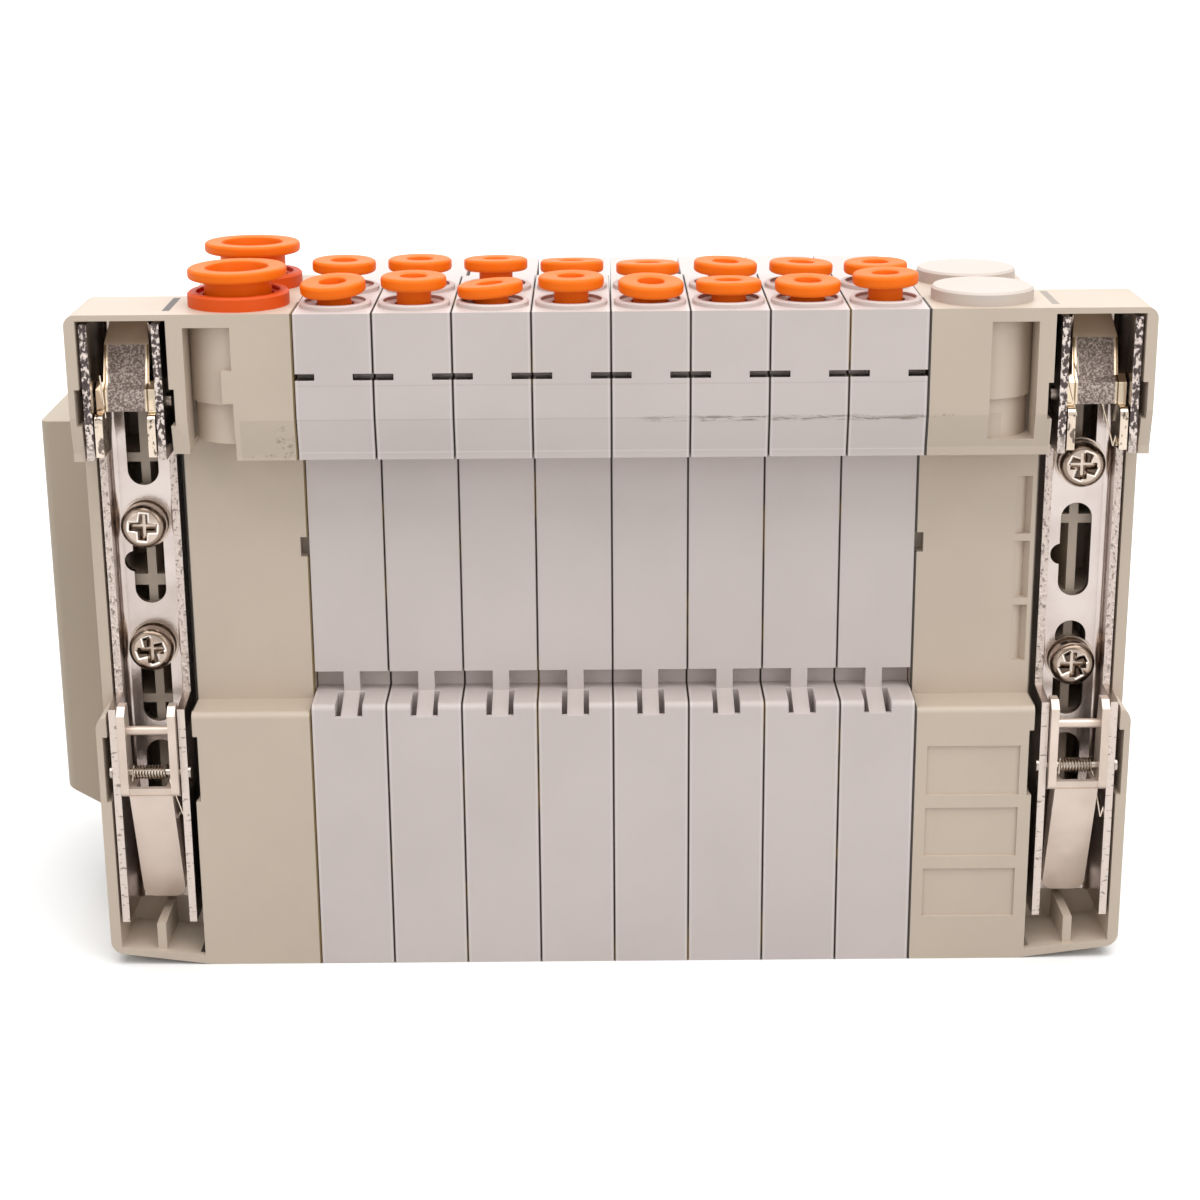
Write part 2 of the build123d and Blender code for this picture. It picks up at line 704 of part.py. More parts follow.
def rail_clip(x):
    pin = pin_plane(x, clip_pin_y, clip_pin_z)
    foot_y, foot_z = clip_foot
    bend_y, bend_z = clip_bend
    tip_y, tip_z = clip_tip
    hook_y = bracket_lip_gap - lip_reach - clip_pin_y
    with BuildPart() as clip:
        # Channel-shaped web that leans back towards its top
        with BuildSketch(pin):
            with BuildLine():
                Polyline(clip_foot, clip_bend, clip_tip,
                         (bend_y + clip_web_depth + clip_sheet, tip_z - clip_sheet),
                         (bend_y + clip_web_depth, foot_z + clip_hook_r),
                         (foot_y + clip_web_depth, foot_z - clip_sheet),
                         (foot_y + clip_sheet, foot_z - clip_sheet), close=True)
            make_face()
        extrude(amount=clip_web_half, both=True)
        with BuildSketch(pin):
            with BuildLine():
                Polyline((foot_y + clip_sheet, foot_z - 2 * clip_sheet), (foot_y + clip_sheet, foot_z),
                         (bend_y + clip_sheet, bend_z), (tip_y + clip_sheet, tip_z - clip_sheet),
                         (tip_y + 2 * clip_web_depth, tip_z - clip_sheet),
                         (tip_y + 2 * clip_web_depth, foot_z - 2 * clip_sheet), close=True)
            make_face()
        extrude(amount=clip_web_half - clip_sheet, both=True, mode=Mode.SUBTRACT)
        # The web narrows over its last bend
        with BuildSketch(Plane.XZ.offset(lip_reach)):
            with BuildLine():
                Polyline((x - clip_web_half, clip_pin_z + foot_z - clip_sheet),
                         (x - clip_web_half, clip_pin_z + bend_z),
                         (x - clip_web_half + clip_narrowing, clip_pin_z + tip_z),
                         (x + clip_web_half - clip_narrowing, clip_pin_z + tip_z),
                         (x + clip_web_half, clip_pin_z + bend_z),
                         (x + clip_web_half, clip_pin_z + foot_z - clip_sheet), close=True)
            make_face()
        extrude(amount=-2 * lip_reach, mode=Mode.INTERSECT)
        # Hook ears that hang beside the web, inside the bracket
        with BuildSketch(pin) as ear:
            with BuildLine():
                Polyline((hook_y, clip_hook_low), (foot_y + clip_web_depth, clip_hook_low),
                         (2 * coil_r, foot_z - coil_r), (2 * coil_r, coil_r + ear_t),
                         (foot_y / 2, 3 * coil_r), (foot_y, 2 * coil_r), clip_foot, (hook_y, foot_z),
                         close=True)
            make_face()
            fillet(ear.vertices().sort_by_distance((hook_y, foot_z))[0], clip_hook_r)
        extrude(amount=ear_half, both=True)
        with Locations((x, 0, clip_pin_z + clip_hook_low)):
            Box(2 * (ear_half - ear_t), 2 * lip_reach, foot_z - clip_hook_low,
                align=(Align.CENTER, Align.CENTER, Align.MIN), mode=Mode.SUBTRACT)
        with Locations(pin.location):
            Cylinder(coil_r + ear_gap, 2 * (clip_web_half - clip_sheet), mode=Mode.SUBTRACT)
            Cylinder(pin_d / 2 + running_gap, bracket_w, mode=Mode.SUBTRACT)
    return clip.part


def rail_latch(x):
    pin = pin_plane(x, latch_pin_y, latch_pin_z)
    head_y, head_z = latch_head
    foot_y, foot_z = latch_foot
    with BuildPart() as ears:
        with BuildSketch(pin) as ear:
            with BuildLine():
                Polyline((latch_hook_front, head_z - ear_t), (latch_hook_front, latch_hook_high - ear_t),
                         (latch_hook_front + ear_t, latch_hook_high), (ear_t, latch_hook_high),
                         (ear_t + ear_gap, latch_hook_high - ear_t),
                         (2 * coil_r, hook_bar_z - 2 * hook_bar_d),
                         (2 * coil_r + ear_gap, head_z), (ear_t, head_z - 2 * ear_t), close=True)
            make_face()
            fillet(ear.vertices().sort_by_distance((latch_hook_front, head_z - ear_t))[0], ear_t - ear_gap)
        extrude(amount=ear_half, both=True)
        with Locations((x, 0, latch_pin_z + head_z - ear_t)):
            Box(2 * (ear_half - ear_t), 4 * lip_reach, latch_hook_high - head_z + 2 * ear_t,
                align=(Align.CENTER, Align.CENTER, Align.MIN), mode=Mode.SUBTRACT)
    with BuildPart() as latch:
        # Tongue with folded edges and a rounded end, leaning back towards its foot
        with BuildSketch(pin):
            with BuildLine():
                Polyline(latch_head, latch_foot, (foot_y + latch_sheet, foot_z + latch_sheet / 3),
                         (foot_y + latch_sheet, foot_z + 2 * latch_sheet),
                         (head_y + latch_tongue_depth, head_z), close=True)
            make_face()
        extrude(amount=latch_half, both=True)
        with BuildSketch(pin):
            with BuildLine():
                Polyline((head_y + latch_sheet, head_z), (foot_y + latch_sheet, foot_z),
                         (foot_y + 2 * latch_tongue_depth, foot_z), (foot_y + latch_tongue_depth, head_z),
                         close=True)
            make_face()
        extrude(amount=latch_half - latch_sheet, both=True, mode=Mode.SUBTRACT)
        with BuildSketch(Plane.XZ.offset(2 * lip_reach)) as outline:
            with Locations((x, latch_pin_z + head_z)):
                Rectangle(2 * latch_half, head_z - foot_z, align=(Align.CENTER, Align.MAX))
            fillet(outline.vertices().group_by(Axis.Y)[0], latch_end_r)
        extrude(amount=-4 * lip_reach, mode=Mode.INTERSECT)
        add(ears.part)
        with Locations((x, latch_pin_y + hook_bar_y, latch_pin_z + hook_bar_z)):
            Cylinder(hook_bar_d / 2, 2 * ear_half, rotation=(0, 90, 0))
        with Locations(pin.location):
            Cylinder(coil_r + ear_gap, 2 * (ear_half - ear_t), mode=Mode.SUBTRACT)
            Cylinder(pin_d / 2 + running_gap, bracket_w, mode=Mode.SUBTRACT)
    return latch.part


def valve_body(station):
    x = station_x(station)
    front_y = base_depth
    face_y = base_depth + valve_depth
    mid_z = valve_h / 2
    with BuildPart() as valve:
        with Locations((x, front_y, 0)):
            Box(valve_w, valve_depth, valve_h, align=(Align.CENTER, Align.MIN, Align.MIN))
        chamfer(valve.edges().filter_by(Axis.X).group_by(Axis.Y)[-1], valve_edge)
        # Joints between the pilot, the body and the cover
        with BuildSketch(Plane.XZ.offset(-face_y)):
            with Locations(*[(x, z) for z in split_z]):
                Rectangle(valve_w, split_w)
        extrude(amount=split_depth, mode=Mode.SUBTRACT)
        with Locations((x, face_y, lens_z)):
            Box(lens_w, 2 * lens_depth, lens_h, mode=Mode.SUBTRACT)
        outward = Plane(origin=(x, face_y, mid_z), x_dir=(1, 0, 0), z_dir=(0, 1, 0))
        with Locations(outward.location):
            with Locations((0, mid_z - override_z)):
                Hole(radius=override_d / 2 + override_gap,
                     depth=override_l - override_proud + override_stroke + override_end_gap)
            with Locations(*[(0, mid_z - z) for z in valve_screw_z]):
                CounterBoreHole(radius=valve_screw_d / 2 + fit_gap,
                                counter_bore_radius=valve_screw_head_d / 2 + valve_screw_head_gap,
                                counter_bore_depth=valve_screw_sink, depth=valve_depth)
    return valve.part


def manual_override(station):
    x = station_x(station)
    face_y = base_depth + valve_depth + override_proud
    with BuildPart() as button:
        with BuildSketch(Plane(origin=(x, face_y, override_z), x_dir=(1, 0, 0), z_dir=(0, -1, 0))):
            Circle(override_d / 2)
        extrude(amount=override_l)
        with Locations((x, face_y, override_z)):
            Box(override_d, 2 * override_slot_depth, override_slot_w, mode=Mode.SUBTRACT)
    return button.part


def valve_screws():
    head_y = base_depth + valve_depth - valve_screw_sink
    with BuildPart() as screws:
        for station in range(stations):
            for z in valve_screw_z:
                head = Plane(origin=(station_x(station), head_y, z), x_dir=(1, 0, 0), z_dir=(0, 1, 0))
                with BuildSketch(head):
                    Circle(valve_screw_head_d / 2)
                extrude(amount=valve_screw_head_h)
                with BuildSketch(head):
                    Circle(valve_screw_d / 2)
                extrude(amount=-(valve_depth - valve_screw_sink + valve_screw_bite - valve_screw_end_gap))
    return screws.part


def connector_housing():
    back_y = end_depth + housing_gap + housing_depth
    with BuildPart() as housing:
        # Plan of the housing: it laps round the back corner of the left end block
        with BuildSketch(Plane.XY.offset(housing_low)):
            with BuildLine():
                Polyline(
                    (-housing_out, housing_front_y), (-outer_x - housing_gap, housing_front_y),
                    (-outer_x - housing_gap, end_depth + housing_gap), (-housing_in, end_depth + housing_gap),
                    (-housing_in, back_y), (-housing_out, back_y), close=True,
                )
            make_face()
        extrude(amount=housing_top - housing_low)
        outer_corner = (-housing_out, housing_front_y, (housing_low + housing_top) / 2)
        fillet(housing.edges().filter_by(Axis.Z).sort_by_distance(outer_corner)[0], housing_r)
        with BuildSketch(Plane.XZ.offset(-back_y)):
            with BuildLine():
                Polyline((-housing_out, housing_low), (-outer_x, housing_low),
                         (-housing_out, housing_low + housing_rise), close=True)
            make_face()
        extrude(amount=back_y, mode=Mode.SUBTRACT)
        # Seat of the socket, in the top
        with Locations((-plate_x, plate_y, housing_top)):
            Box(plate_l + 2 * fit_gap, plate_w + 2 * fit_gap, 2 * plate_t, mode=Mode.SUBTRACT)
            Box(shell_l - 2 * shell_wall, shell_w - 2 * shell_wall, 2 * socket_drop, mode=Mode.SUBTRACT)
    return housing.part


def connector_insert():
    plate_z = housing_top - plate_t
    with BuildPart() as insert:
        with Locations((-plate_x, plate_y, plate_z)):
            Box(plate_l, plate_w, plate_t, align=(Align.CENTER, Align.CENTER, Align.MIN))
        for length, width, low, high, mode in (
            (shell_l, shell_w, plate_z, plate_z + shell_h, Mode.ADD),
            (shell_l - 2 * shell_wall, shell_w - 2 * shell_wall, plate_z, plate_z + shell_h, Mode.SUBTRACT),
            (shell_l - 3 * shell_wall, shell_w - 3 * shell_wall, plate_z - socket_drop / 2,
             plate_z + socket_rise, Mode.ADD),
        ):
            with BuildSketch(Plane.XY.offset(low)) as outline:
                with Locations((-plate_x, plate_y)):
                    Trapezoid(length, width, 90 - shell_slope, rotation=0)
                fillet(outline.vertices(), width / 4)
            extrude(amount=high - low, mode=mode)
        with Locations((-plate_x, plate_y, plate_z)):
            Box(shell_l, shell_w, plate_t, align=(Align.CENTER, Align.CENTER, Align.MIN))
        with BuildSketch(Plane.XY.offset(plate_z + plate_t)):
            with Locations((-plate_x - post_gap / 2, plate_y), (-plate_x + post_gap / 2, plate_y)):
                RegularPolygon(post_d / 2, 6)
        extrude(amount=post_h)
    return insert.part


for station in range(stations):
    save(manifold_block(station), f"manifold_block_{station + 1}")
    save(valve_body(station), f"valve_body_{station + 1}")
    save(manual_override(station), f"manual_override_{station + 1}")

rim_z = height + ring_h
button_rows = (
    ("front", front_lift, front_lean_x, front_lean_y),
    ("back", back_lift, back_lean_x, back_lean_y),
)
for row, (name, lifts, leans_x, leans_y) in enumerate(button_rows):
    for station in range(stations):
        plane = button_plane(station_x(station), port_y(row), rim_z, leans_x[station], leans_y[station])
        button = release_button(plane, lifts[station], flange_d, flange_t, stem_d, stem_l, hole_d)
        save(button, f"release_button_{name}_{station + 1}")

for row, name in enumerate(("supply_button", "exhaust_button")):
    plane = button_plane(-supply_x, supply_port_y(row), height + collar_h,
                         supply_lean_x[row], supply_lean_y[row])
    button = release_button(plane, supply_lift[row], supply_flange_d, supply_flange_t, supply_stem_d,
                            supply_stem_l, supply_hole_d)
    save(button, name)

save(end_block(-1, screws_up_left), "left_end_block")
save(end_block(1, screws_up_right), "right_end_block")
save(port_cartridges(), "port_cartridges")
save(supply_collars(), "supply_collars")
save(port_plugs(), "port_plugs")
save(tube_collets(), "tube_collets")
save(rail_bracket(-bracket_x), "bracket_left")
save(rail_bracket(bracket_x), "bracket_right")
save(bracket_screws(), "bracket_screws")
save(pivot_pins(), "pivot_pins")
save(torsion_springs(), "torsion_springs")
save(rail_clip(-bracket_x), "rail_clip_left")
save(rail_clip(bracket_x), "rail_clip_right")
save(rail_latch(-bracket_x), "rail_latch_left")
save(rail_latch(bracket_x), "rail_latch_right")
save(valve_screws(), "valve_screws")
save(connector_housing(), "connector_housing")
save(connector_insert(), "connector_insert")
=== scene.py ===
import bpy
import bmesh
import json
from math import cos, pi, radians, sin
from mathutils import Matrix, Vector

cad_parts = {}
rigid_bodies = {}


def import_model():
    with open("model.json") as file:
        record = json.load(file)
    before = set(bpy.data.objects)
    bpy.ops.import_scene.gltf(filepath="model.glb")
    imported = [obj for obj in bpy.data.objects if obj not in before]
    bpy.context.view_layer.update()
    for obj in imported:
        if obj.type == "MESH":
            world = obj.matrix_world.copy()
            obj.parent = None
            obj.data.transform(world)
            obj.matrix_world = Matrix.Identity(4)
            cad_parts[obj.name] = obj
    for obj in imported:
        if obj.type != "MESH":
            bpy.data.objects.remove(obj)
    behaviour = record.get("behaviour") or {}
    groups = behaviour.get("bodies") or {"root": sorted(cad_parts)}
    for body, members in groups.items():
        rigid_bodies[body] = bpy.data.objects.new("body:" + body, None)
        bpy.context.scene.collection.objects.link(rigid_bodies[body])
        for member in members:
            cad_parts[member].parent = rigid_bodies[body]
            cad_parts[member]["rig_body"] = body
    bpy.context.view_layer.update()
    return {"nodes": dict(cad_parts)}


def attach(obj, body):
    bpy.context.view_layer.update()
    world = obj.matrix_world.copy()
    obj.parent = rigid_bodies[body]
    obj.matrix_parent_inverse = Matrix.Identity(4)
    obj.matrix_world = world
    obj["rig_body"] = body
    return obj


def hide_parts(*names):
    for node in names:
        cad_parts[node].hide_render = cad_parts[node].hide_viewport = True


mm = 0.001
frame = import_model()
nodes = frame["nodes"]


# Shader helpers: lengths in a tree are metres, so the settings below are multiplied by mm

def setSocket(tree, socket, value):
    if isinstance(value, bpy.types.NodeSocket):
        tree.links.new(value, socket)
    else:
        socket.default_value = value


def addNode(tree, kind, inputs=None, **settings):
    node = tree.nodes.new(kind)
    for name, value in settings.items():
        setattr(node, name, value)
    for name, value in (inputs or {}).items():
        setSocket(tree, node.inputs[name], value)
    return node


def newGroup(name, inputs):
    # A surface group: each input is a colour or a number with its usual value
    tree = bpy.data.node_groups.new(name, "ShaderNodeTree")
    for label, value in inputs.items():
        kind = "NodeSocketFloat" if isinstance(value, float) else "NodeSocketColor"
        tree.interface.new_socket(label, in_out="INPUT", socket_type=kind).default_value = value
    for label, kind in (("Colour", "Color"), ("Roughness", "Float"), ("Normal", "Vector")):
        tree.interface.new_socket(label, in_out="OUTPUT", socket_type="NodeSocket" + kind)
    return tree, tree.nodes.new("NodeGroupInput").outputs, tree.nodes.new("NodeGroupOutput").inputs


def fade(tree, value, low, high, start=0.0, end=1.0, kind="LINEAR"):
    # Goes from start to end as the value goes from low to high
    return addNode(tree, "ShaderNodeMapRange", {"Value": value, "From Min": low, "From Max": high,
                                                "To Min": start, "To Max": end},
                   interpolation_type=kind).outputs["Result"]


def ramp(tree, value, low, high, start=0.0, end=1.0):
    return fade(tree, value, low, high, start, end, "SMOOTHSTEP")


def maths(tree, operation, a, b=0.0):
    node = tree.nodes.new("ShaderNodeMath")
    node.operation = operation
    setSocket(tree, node.inputs[0], a)
    setSocket(tree, node.inputs[1], b)
    return node.outputs[0]


def product(tree, first, *others):
    for value in others:
        first = maths(tree, "MULTIPLY", first, value)
    return first


def between(tree, value, low, high):
    return product(tree, maths(tree, "GREATER_THAN", value, low), maths(tree, "LESS_THAN", value, high))


def lengthOf(tree, a, b):
    return maths(tree, "SQRT", maths(tree, "ADD", product(tree, a, a), product(tree, b, b)))


def blendColour(tree, factor, a, b):
    node = tree.nodes.new("ShaderNodeMix")
    node.data_type = "RGBA"
    for socket, value in zip((node.inputs[0], node.inputs[6], node.inputs[7]), (factor, a, b)):
        setSocket(tree, socket, value)
    return node.outputs[2]


def tinted(tree, colour, mask, strength, tint):
    # Lays a tint over the colour where the mask is 1, at the given strength
    return blendColour(tree, product(tree, mask, strength), colour, tint)


def nearLevel(tree, value, level, half):
    # 1 on a thin band round a level, fading out over the outer half of its half width
    away = maths(tree, "ABSOLUTE", maths(tree, "SUBTRACT", value, level))
    return fade(tree, away, half * 0.5, half, 1.0, 0.0)


def objectSpot(tree):
    return addNode(tree, "ShaderNodeTexCoord").outputs["Object"]


def parted(tree, vector):
    return addNode(tree, "ShaderNodeSeparateXYZ", {"Vector": vector}).outputs


def stretched(tree, vector, scale):
    return addNode(tree, "ShaderNodeMapping", {"Vector": vector, "Scale": scale}).outputs["Vector"]


def facingRail(tree):
    # 1 where the surface faces the rail side, which lies towards minus Y
    facing = parted(tree, addNode(tree, "ShaderNodeTexCoord").outputs["Normal"])["Y"]
    return maths(tree, "LESS_THAN", facing, -0.6)


def noise(tree, vector, scale, detail=3.0, rough=0.5):
    return addNode(tree, "ShaderNodeTexNoise", {"Vector": vector, "Scale": scale, "Detail": detail,
                                                "Roughness": rough}).outputs["Fac"]


def bumped(tree, strength, distance, height):
    return addNode(tree, "ShaderNodeBump", {"Strength": strength, "Distance": distance,
                                            "Height": height}).outputs["Normal"]


# Surfaces that several materials share

mouldedLook = {"cloudScale": 55.0, "fleckScale": 420.0, "pitScale": 5200.0, "mottleAt": (0.35, 0.75),
               "mottleShare": 0.12, "fleckAt": (0.68, 0.78), "soiledAt": (0.5, 0.7), "dullness": 0.40,
               "dullnessChange": 0.16, "grainDepth": 0.04}
platedLook = {"toneScale": 120.0, "lineScale": (2600.0, 2600.0, 180.0), "tarnishAt": (0.3, 0.75),
              "dullnessChange": 0.10, "markDepth": 0.03}


def buildMouldedGroup():
    # Moulded plastic: soft mottling, faint handling dirt and a fine spark-eroded grain
    look = mouldedLook
    tree, given, out = newGroup("mouldedSurface", {"Colour": (0.5, 0.5, 0.5, 1), "Soiled": (0.3, 0.3, 0.3, 1),
                                                   "Mottle": 0.5, "Dirt": 0.3, "Grain": 0.3})
    spot = objectSpot(tree)
    cloud = noise(tree, spot, look["cloudScale"], 4.0)
    fleck = noise(tree, spot, look["fleckScale"], 5.0, 0.65)
    pit = noise(tree, spot, look["pitScale"], 2.0)
    darker = blendColour(tree, look["mottleShare"], given["Colour"], given["Soiled"])
    mottled = tinted(tree, given["Colour"], ramp(tree, cloud, *look["mottleAt"]), given["Mottle"], darker)
    speck = product(tree, ramp(tree, fleck, *look["fleckAt"]), ramp(tree, cloud, *look["soiledAt"]))
    tree.links.new(tinted(tree, mottled, speck, given["Dirt"], given["Soiled"]), out["Colour"])
    dullness = maths(tree, "ADD", product(tree, cloud, look["dullnessChange"]), look["dullness"])
    tree.links.new(dullness, out["Roughness"])
    tree.links.new(bumped(tree, given["Grain"], look["grainDepth"] * mm, pit), out["Normal"])
    return tree


def buildPlatedGroup():
    # Plated sheet: slow tone changes, fine lines along the part and small handling marks
    look = platedLook
    tree, given, out = newGroup("platedSurface", {"Colour": (0.6, 0.6, 0.6, 1), "Tone": 0.4, "Marks": 0.2,
                                                  "Tarnish": (0.4, 0.35, 0.3, 1), "Roughness": 0.25})
    spot = objectSpot(tree)
    slow = noise(tree, spot, look["toneScale"], 3.0)
    lines = noise(tree, stretched(tree, spot, look["lineScale"]), 1.0, 2.0)
    dulled = ramp(tree, slow, *look["tarnishAt"])
    tree.links.new(tinted(tree, given["Colour"], dulled, given["Tone"], given["Tarnish"]), out["Colour"])
    dullness = maths(tree, "ADD", given["Roughness"], product(tree, lines, look["dullnessChange"]))
    tree.links.new(dullness, out["Roughness"])
    relief = maths(tree, "ADD", lines, slow)
    tree.links.new(bumped(tree, given["Marks"], look["markDepth"] * mm, relief), out["Normal"])
    return tree


mouldedGroup = buildMouldedGroup()
platedGroup = buildPlatedGroup()


def newMaterial(name):
    material = bpy.data.materials.new(name)
    material.use_nodes = True
    tree = material.node_tree
    return material, tree, tree.nodes["Principled BSDF"]


def useGroup(tree, group, shader, values):
    node = tree.nodes.new("ShaderNodeGroup")
    node.node_tree = group
    for label, value in values.items():
        node.inputs[label].default_value = value
    tree.links.new(node.outputs["Roughness"], shader.inputs["Roughness"])
    tree.links.new(node.outputs["Normal"], shader.inputs["Normal"])
    return node.outputs["Colour"]


# Plastic of the blocks, with levels and widths in millimetres

# The darker tint serves both the dirt and the painted shade, the edge colour the painted highlights, the dark
# colour the painted shade in the slots
blockLook = {
    "colour": (0.590, 0.520, 0.495, 1), "dirtAndShade": (0.23, 0.19, 0.16, 1), "groove": (0.30, 0.25, 0.22, 1),
    "edge": (0.70, 0.63, 0.60, 1), "dark": (0.010, 0.007, 0.006, 1), "frontBefore": -6.0,
    "lipLow": 75.4, "lipShade": 0.09, "lipLine": 0.12, "lipLight": 0.5,
    "kneeLevel": 80.05, "kneeSoft": 0.1, "kneeLine": 0.12, "kneeShade": 0.22,
    "partingLevel": 84.7, "partingLine": 0.14, "partingShade": 0.18,
    "rubDrop": 0.15, "rubHalf": 0.5, "rubStart": 2.0, "rubFade": 6.0, "rubScale": (260.0, 260.0, 2200.0),
    "rubAt": (0.47, 0.58), "rubShade": 0.9,
    "slotLow": 84.7, "slotHigh": 86.1, "slotReach": 2.8, "slotFront": -7.6, "slotShade": 0.92,
    "roundedAt": 0.36, "roundedHalf": 0.16, "roundedLight": 0.45,
    "pitch": 10.5, "seamInner": 0.11, "seamOuter": 0.20, "seamShade": 0.95, "seam": (0.030, 0.018, 0.008, 1),
    "seamGold": (0.20, 0.12, 0.025, 1), "goldScale": 110.0, "goldAt": (0.52, 0.66),
}


def blockPlastic():
    look = blockLook
    material, tree, shader = newMaterial("blockPlastic")
    colour = useGroup(tree, mouldedGroup, shader, {"Colour": look["colour"], "Soiled": look["dirtAndShade"],
                                                   "Mottle": 0.7, "Dirt": 0.25, "Grain": 0.25})
    spot = objectSpot(tree)
    x, y, z = parted(tree, spot)
    front = maths(tree, "LESS_THAN", y, look["frontBefore"] * mm)
    # Painted shade on the lip below its knee, down to a painted highlight along its lower edge
    onLip = product(tree, front, maths(tree, "GREATER_THAN", z, (look["lipLow"] - 1.0) * mm))
    below = ramp(tree, z, (look["kneeLevel"] - look["kneeSoft"]) * mm,
                 (look["kneeLevel"] + look["kneeSoft"]) * mm, 1.0, 0.0)
    colour = tinted(tree, colour, product(tree, onLip, below), look["lipShade"], look["dirtAndShade"])
    bright = nearLevel(tree, z, look["lipLow"] * mm, look["lipLine"] * mm)
    colour = tinted(tree, colour, product(tree, bright, front), look["lipLight"], look["edge"])
    # Painted shade along the parting line just under the latch slots
    parting = nearLevel(tree, z, look["partingLevel"] * mm, look["partingLine"] * mm)
    colour = tinted(tree, colour, product(tree, parting, front), look["partingShade"], look["groove"])
    # Rubbed line along the knee of the lip, broken up and only on one half of the row
    broken = ramp(tree, noise(tree, stretched(tree, spot, look["rubScale"]), 1.0, 5.0, 0.75), *look["rubAt"])
    reach = fade(tree, x, look["rubStart"] * mm, (look["rubStart"] + look["rubFade"]) * mm)
    rub = nearLevel(tree, z, (look["kneeLevel"] - look["rubDrop"]) * mm, look["rubHalf"] * mm)
    rub = product(tree, rub, broken, reach, front)
    colour = tinted(tree, colour, rub, look["rubShade"], look["dirtAndShade"])
    # Painted shade in a thin line along the knee of the lip
    thin = nearLevel(tree, z, look["kneeLevel"] * mm, look["kneeLine"] * mm)
    colour = tinted(tree, colour, product(tree, thin, front), look["kneeShade"], look["dirtAndShade"])
    # The latch slots, at the joints between the blocks, get painted shade inside
    stations = maths(tree, "DIVIDE", x, look["pitch"] * mm)
    fromJoint = product(tree, maths(tree, "PINGPONG", stations, 0.5), look["pitch"] * mm)
    inSlot = product(tree, maths(tree, "LESS_THAN", fromJoint, look["slotReach"] * mm),
                     maths(tree, "GREATER_THAN", y, look["slotFront"] * mm), front,
                     between(tree, z, look["slotLow"] * mm, look["slotHigh"] * mm))
    colour = tinted(tree, colour, inSlot, look["slotShade"], look["dark"])
    # Painted shade in the joint, with the brown edge of its seal here and there, between painted highlights
    # on the rounded edges
    rounded = product(tree, nearLevel(tree, fromJoint, look["roundedAt"] * mm, look["roundedHalf"] * mm),
                      maths(tree, "LESS_THAN", y, 0.0))
    colour = tinted(tree, colour, rounded, look["roundedLight"], look["edge"])
    atJoint = fade(tree, fromJoint, look["seamInner"] * mm, look["seamOuter"] * mm, 1.0, 0.0)
    patches = ramp(tree, noise(tree, spot, look["goldScale"], 2.0), *look["goldAt"])
    seam = blendColour(tree, patches, look["seam"], look["seamGold"])
    colour = tinted(tree, colour, atJoint, look["seamShade"], seam)
    tree.links.new(colour, shader.inputs["Base Color"])
    return material


# Plastic of the end blocks: a scuff is its middle in x and z, its half width and height, and its strength

# The darker tint serves both the scuffs and the painted shade, the edge colour the painted highlights on the
# window rims
endLook = {
    "colour": (0.555, 0.460, 0.370, 1), "dirtAndShade": (0.20, 0.165, 0.13, 1), "edge": (0.68, 0.58, 0.47, 1),
    "dark": (0.012, 0.008, 0.006, 1), "jointGold": (0.14, 0.085, 0.02, 1), "frontBefore": -6.0,
    "scuffs": ((-43.6, 76.9, 1.7, 3.4, 0.95), (-44.9, 74.9, 4.6, 0.45, 1.0), (-52.0, 70.0, 5.0, 0.6, 0.25),
               (44.0, 80.1, 3.0, 0.35, 0.8)),
    "scuffCore": 0.2, "crumbScale": 900.0, "crumbAt": (0.50, 0.64),
    "kneeLevel": 80.05, "lipLow": 74.2, "kneeLeft": -49.5, "kneeRight": 58.4, "kneeShade": 0.14,
    "windows": 3, "windowX": 50.3, "windowWide": 13.0, "windowTall": 7.35, "windowLow": 10.275,
    "windowStep": 9.25, "windowShade": 0.07, "rimIn": 0.10, "rimOut": 0.24, "rimHalf": 0.20, "rimShade": 0.45,
    "rimLight": 0.5, "jointReach": 42.22, "jointBack": 1.0, "jointShade": 0.95,
    "gapFrom": 58.45, "gapTo": 59.45, "gapFront": -5.0, "gapBack": 5.0, "gapShadeLeft": 0.92,
    "gapShadeRight": 0.5,
}


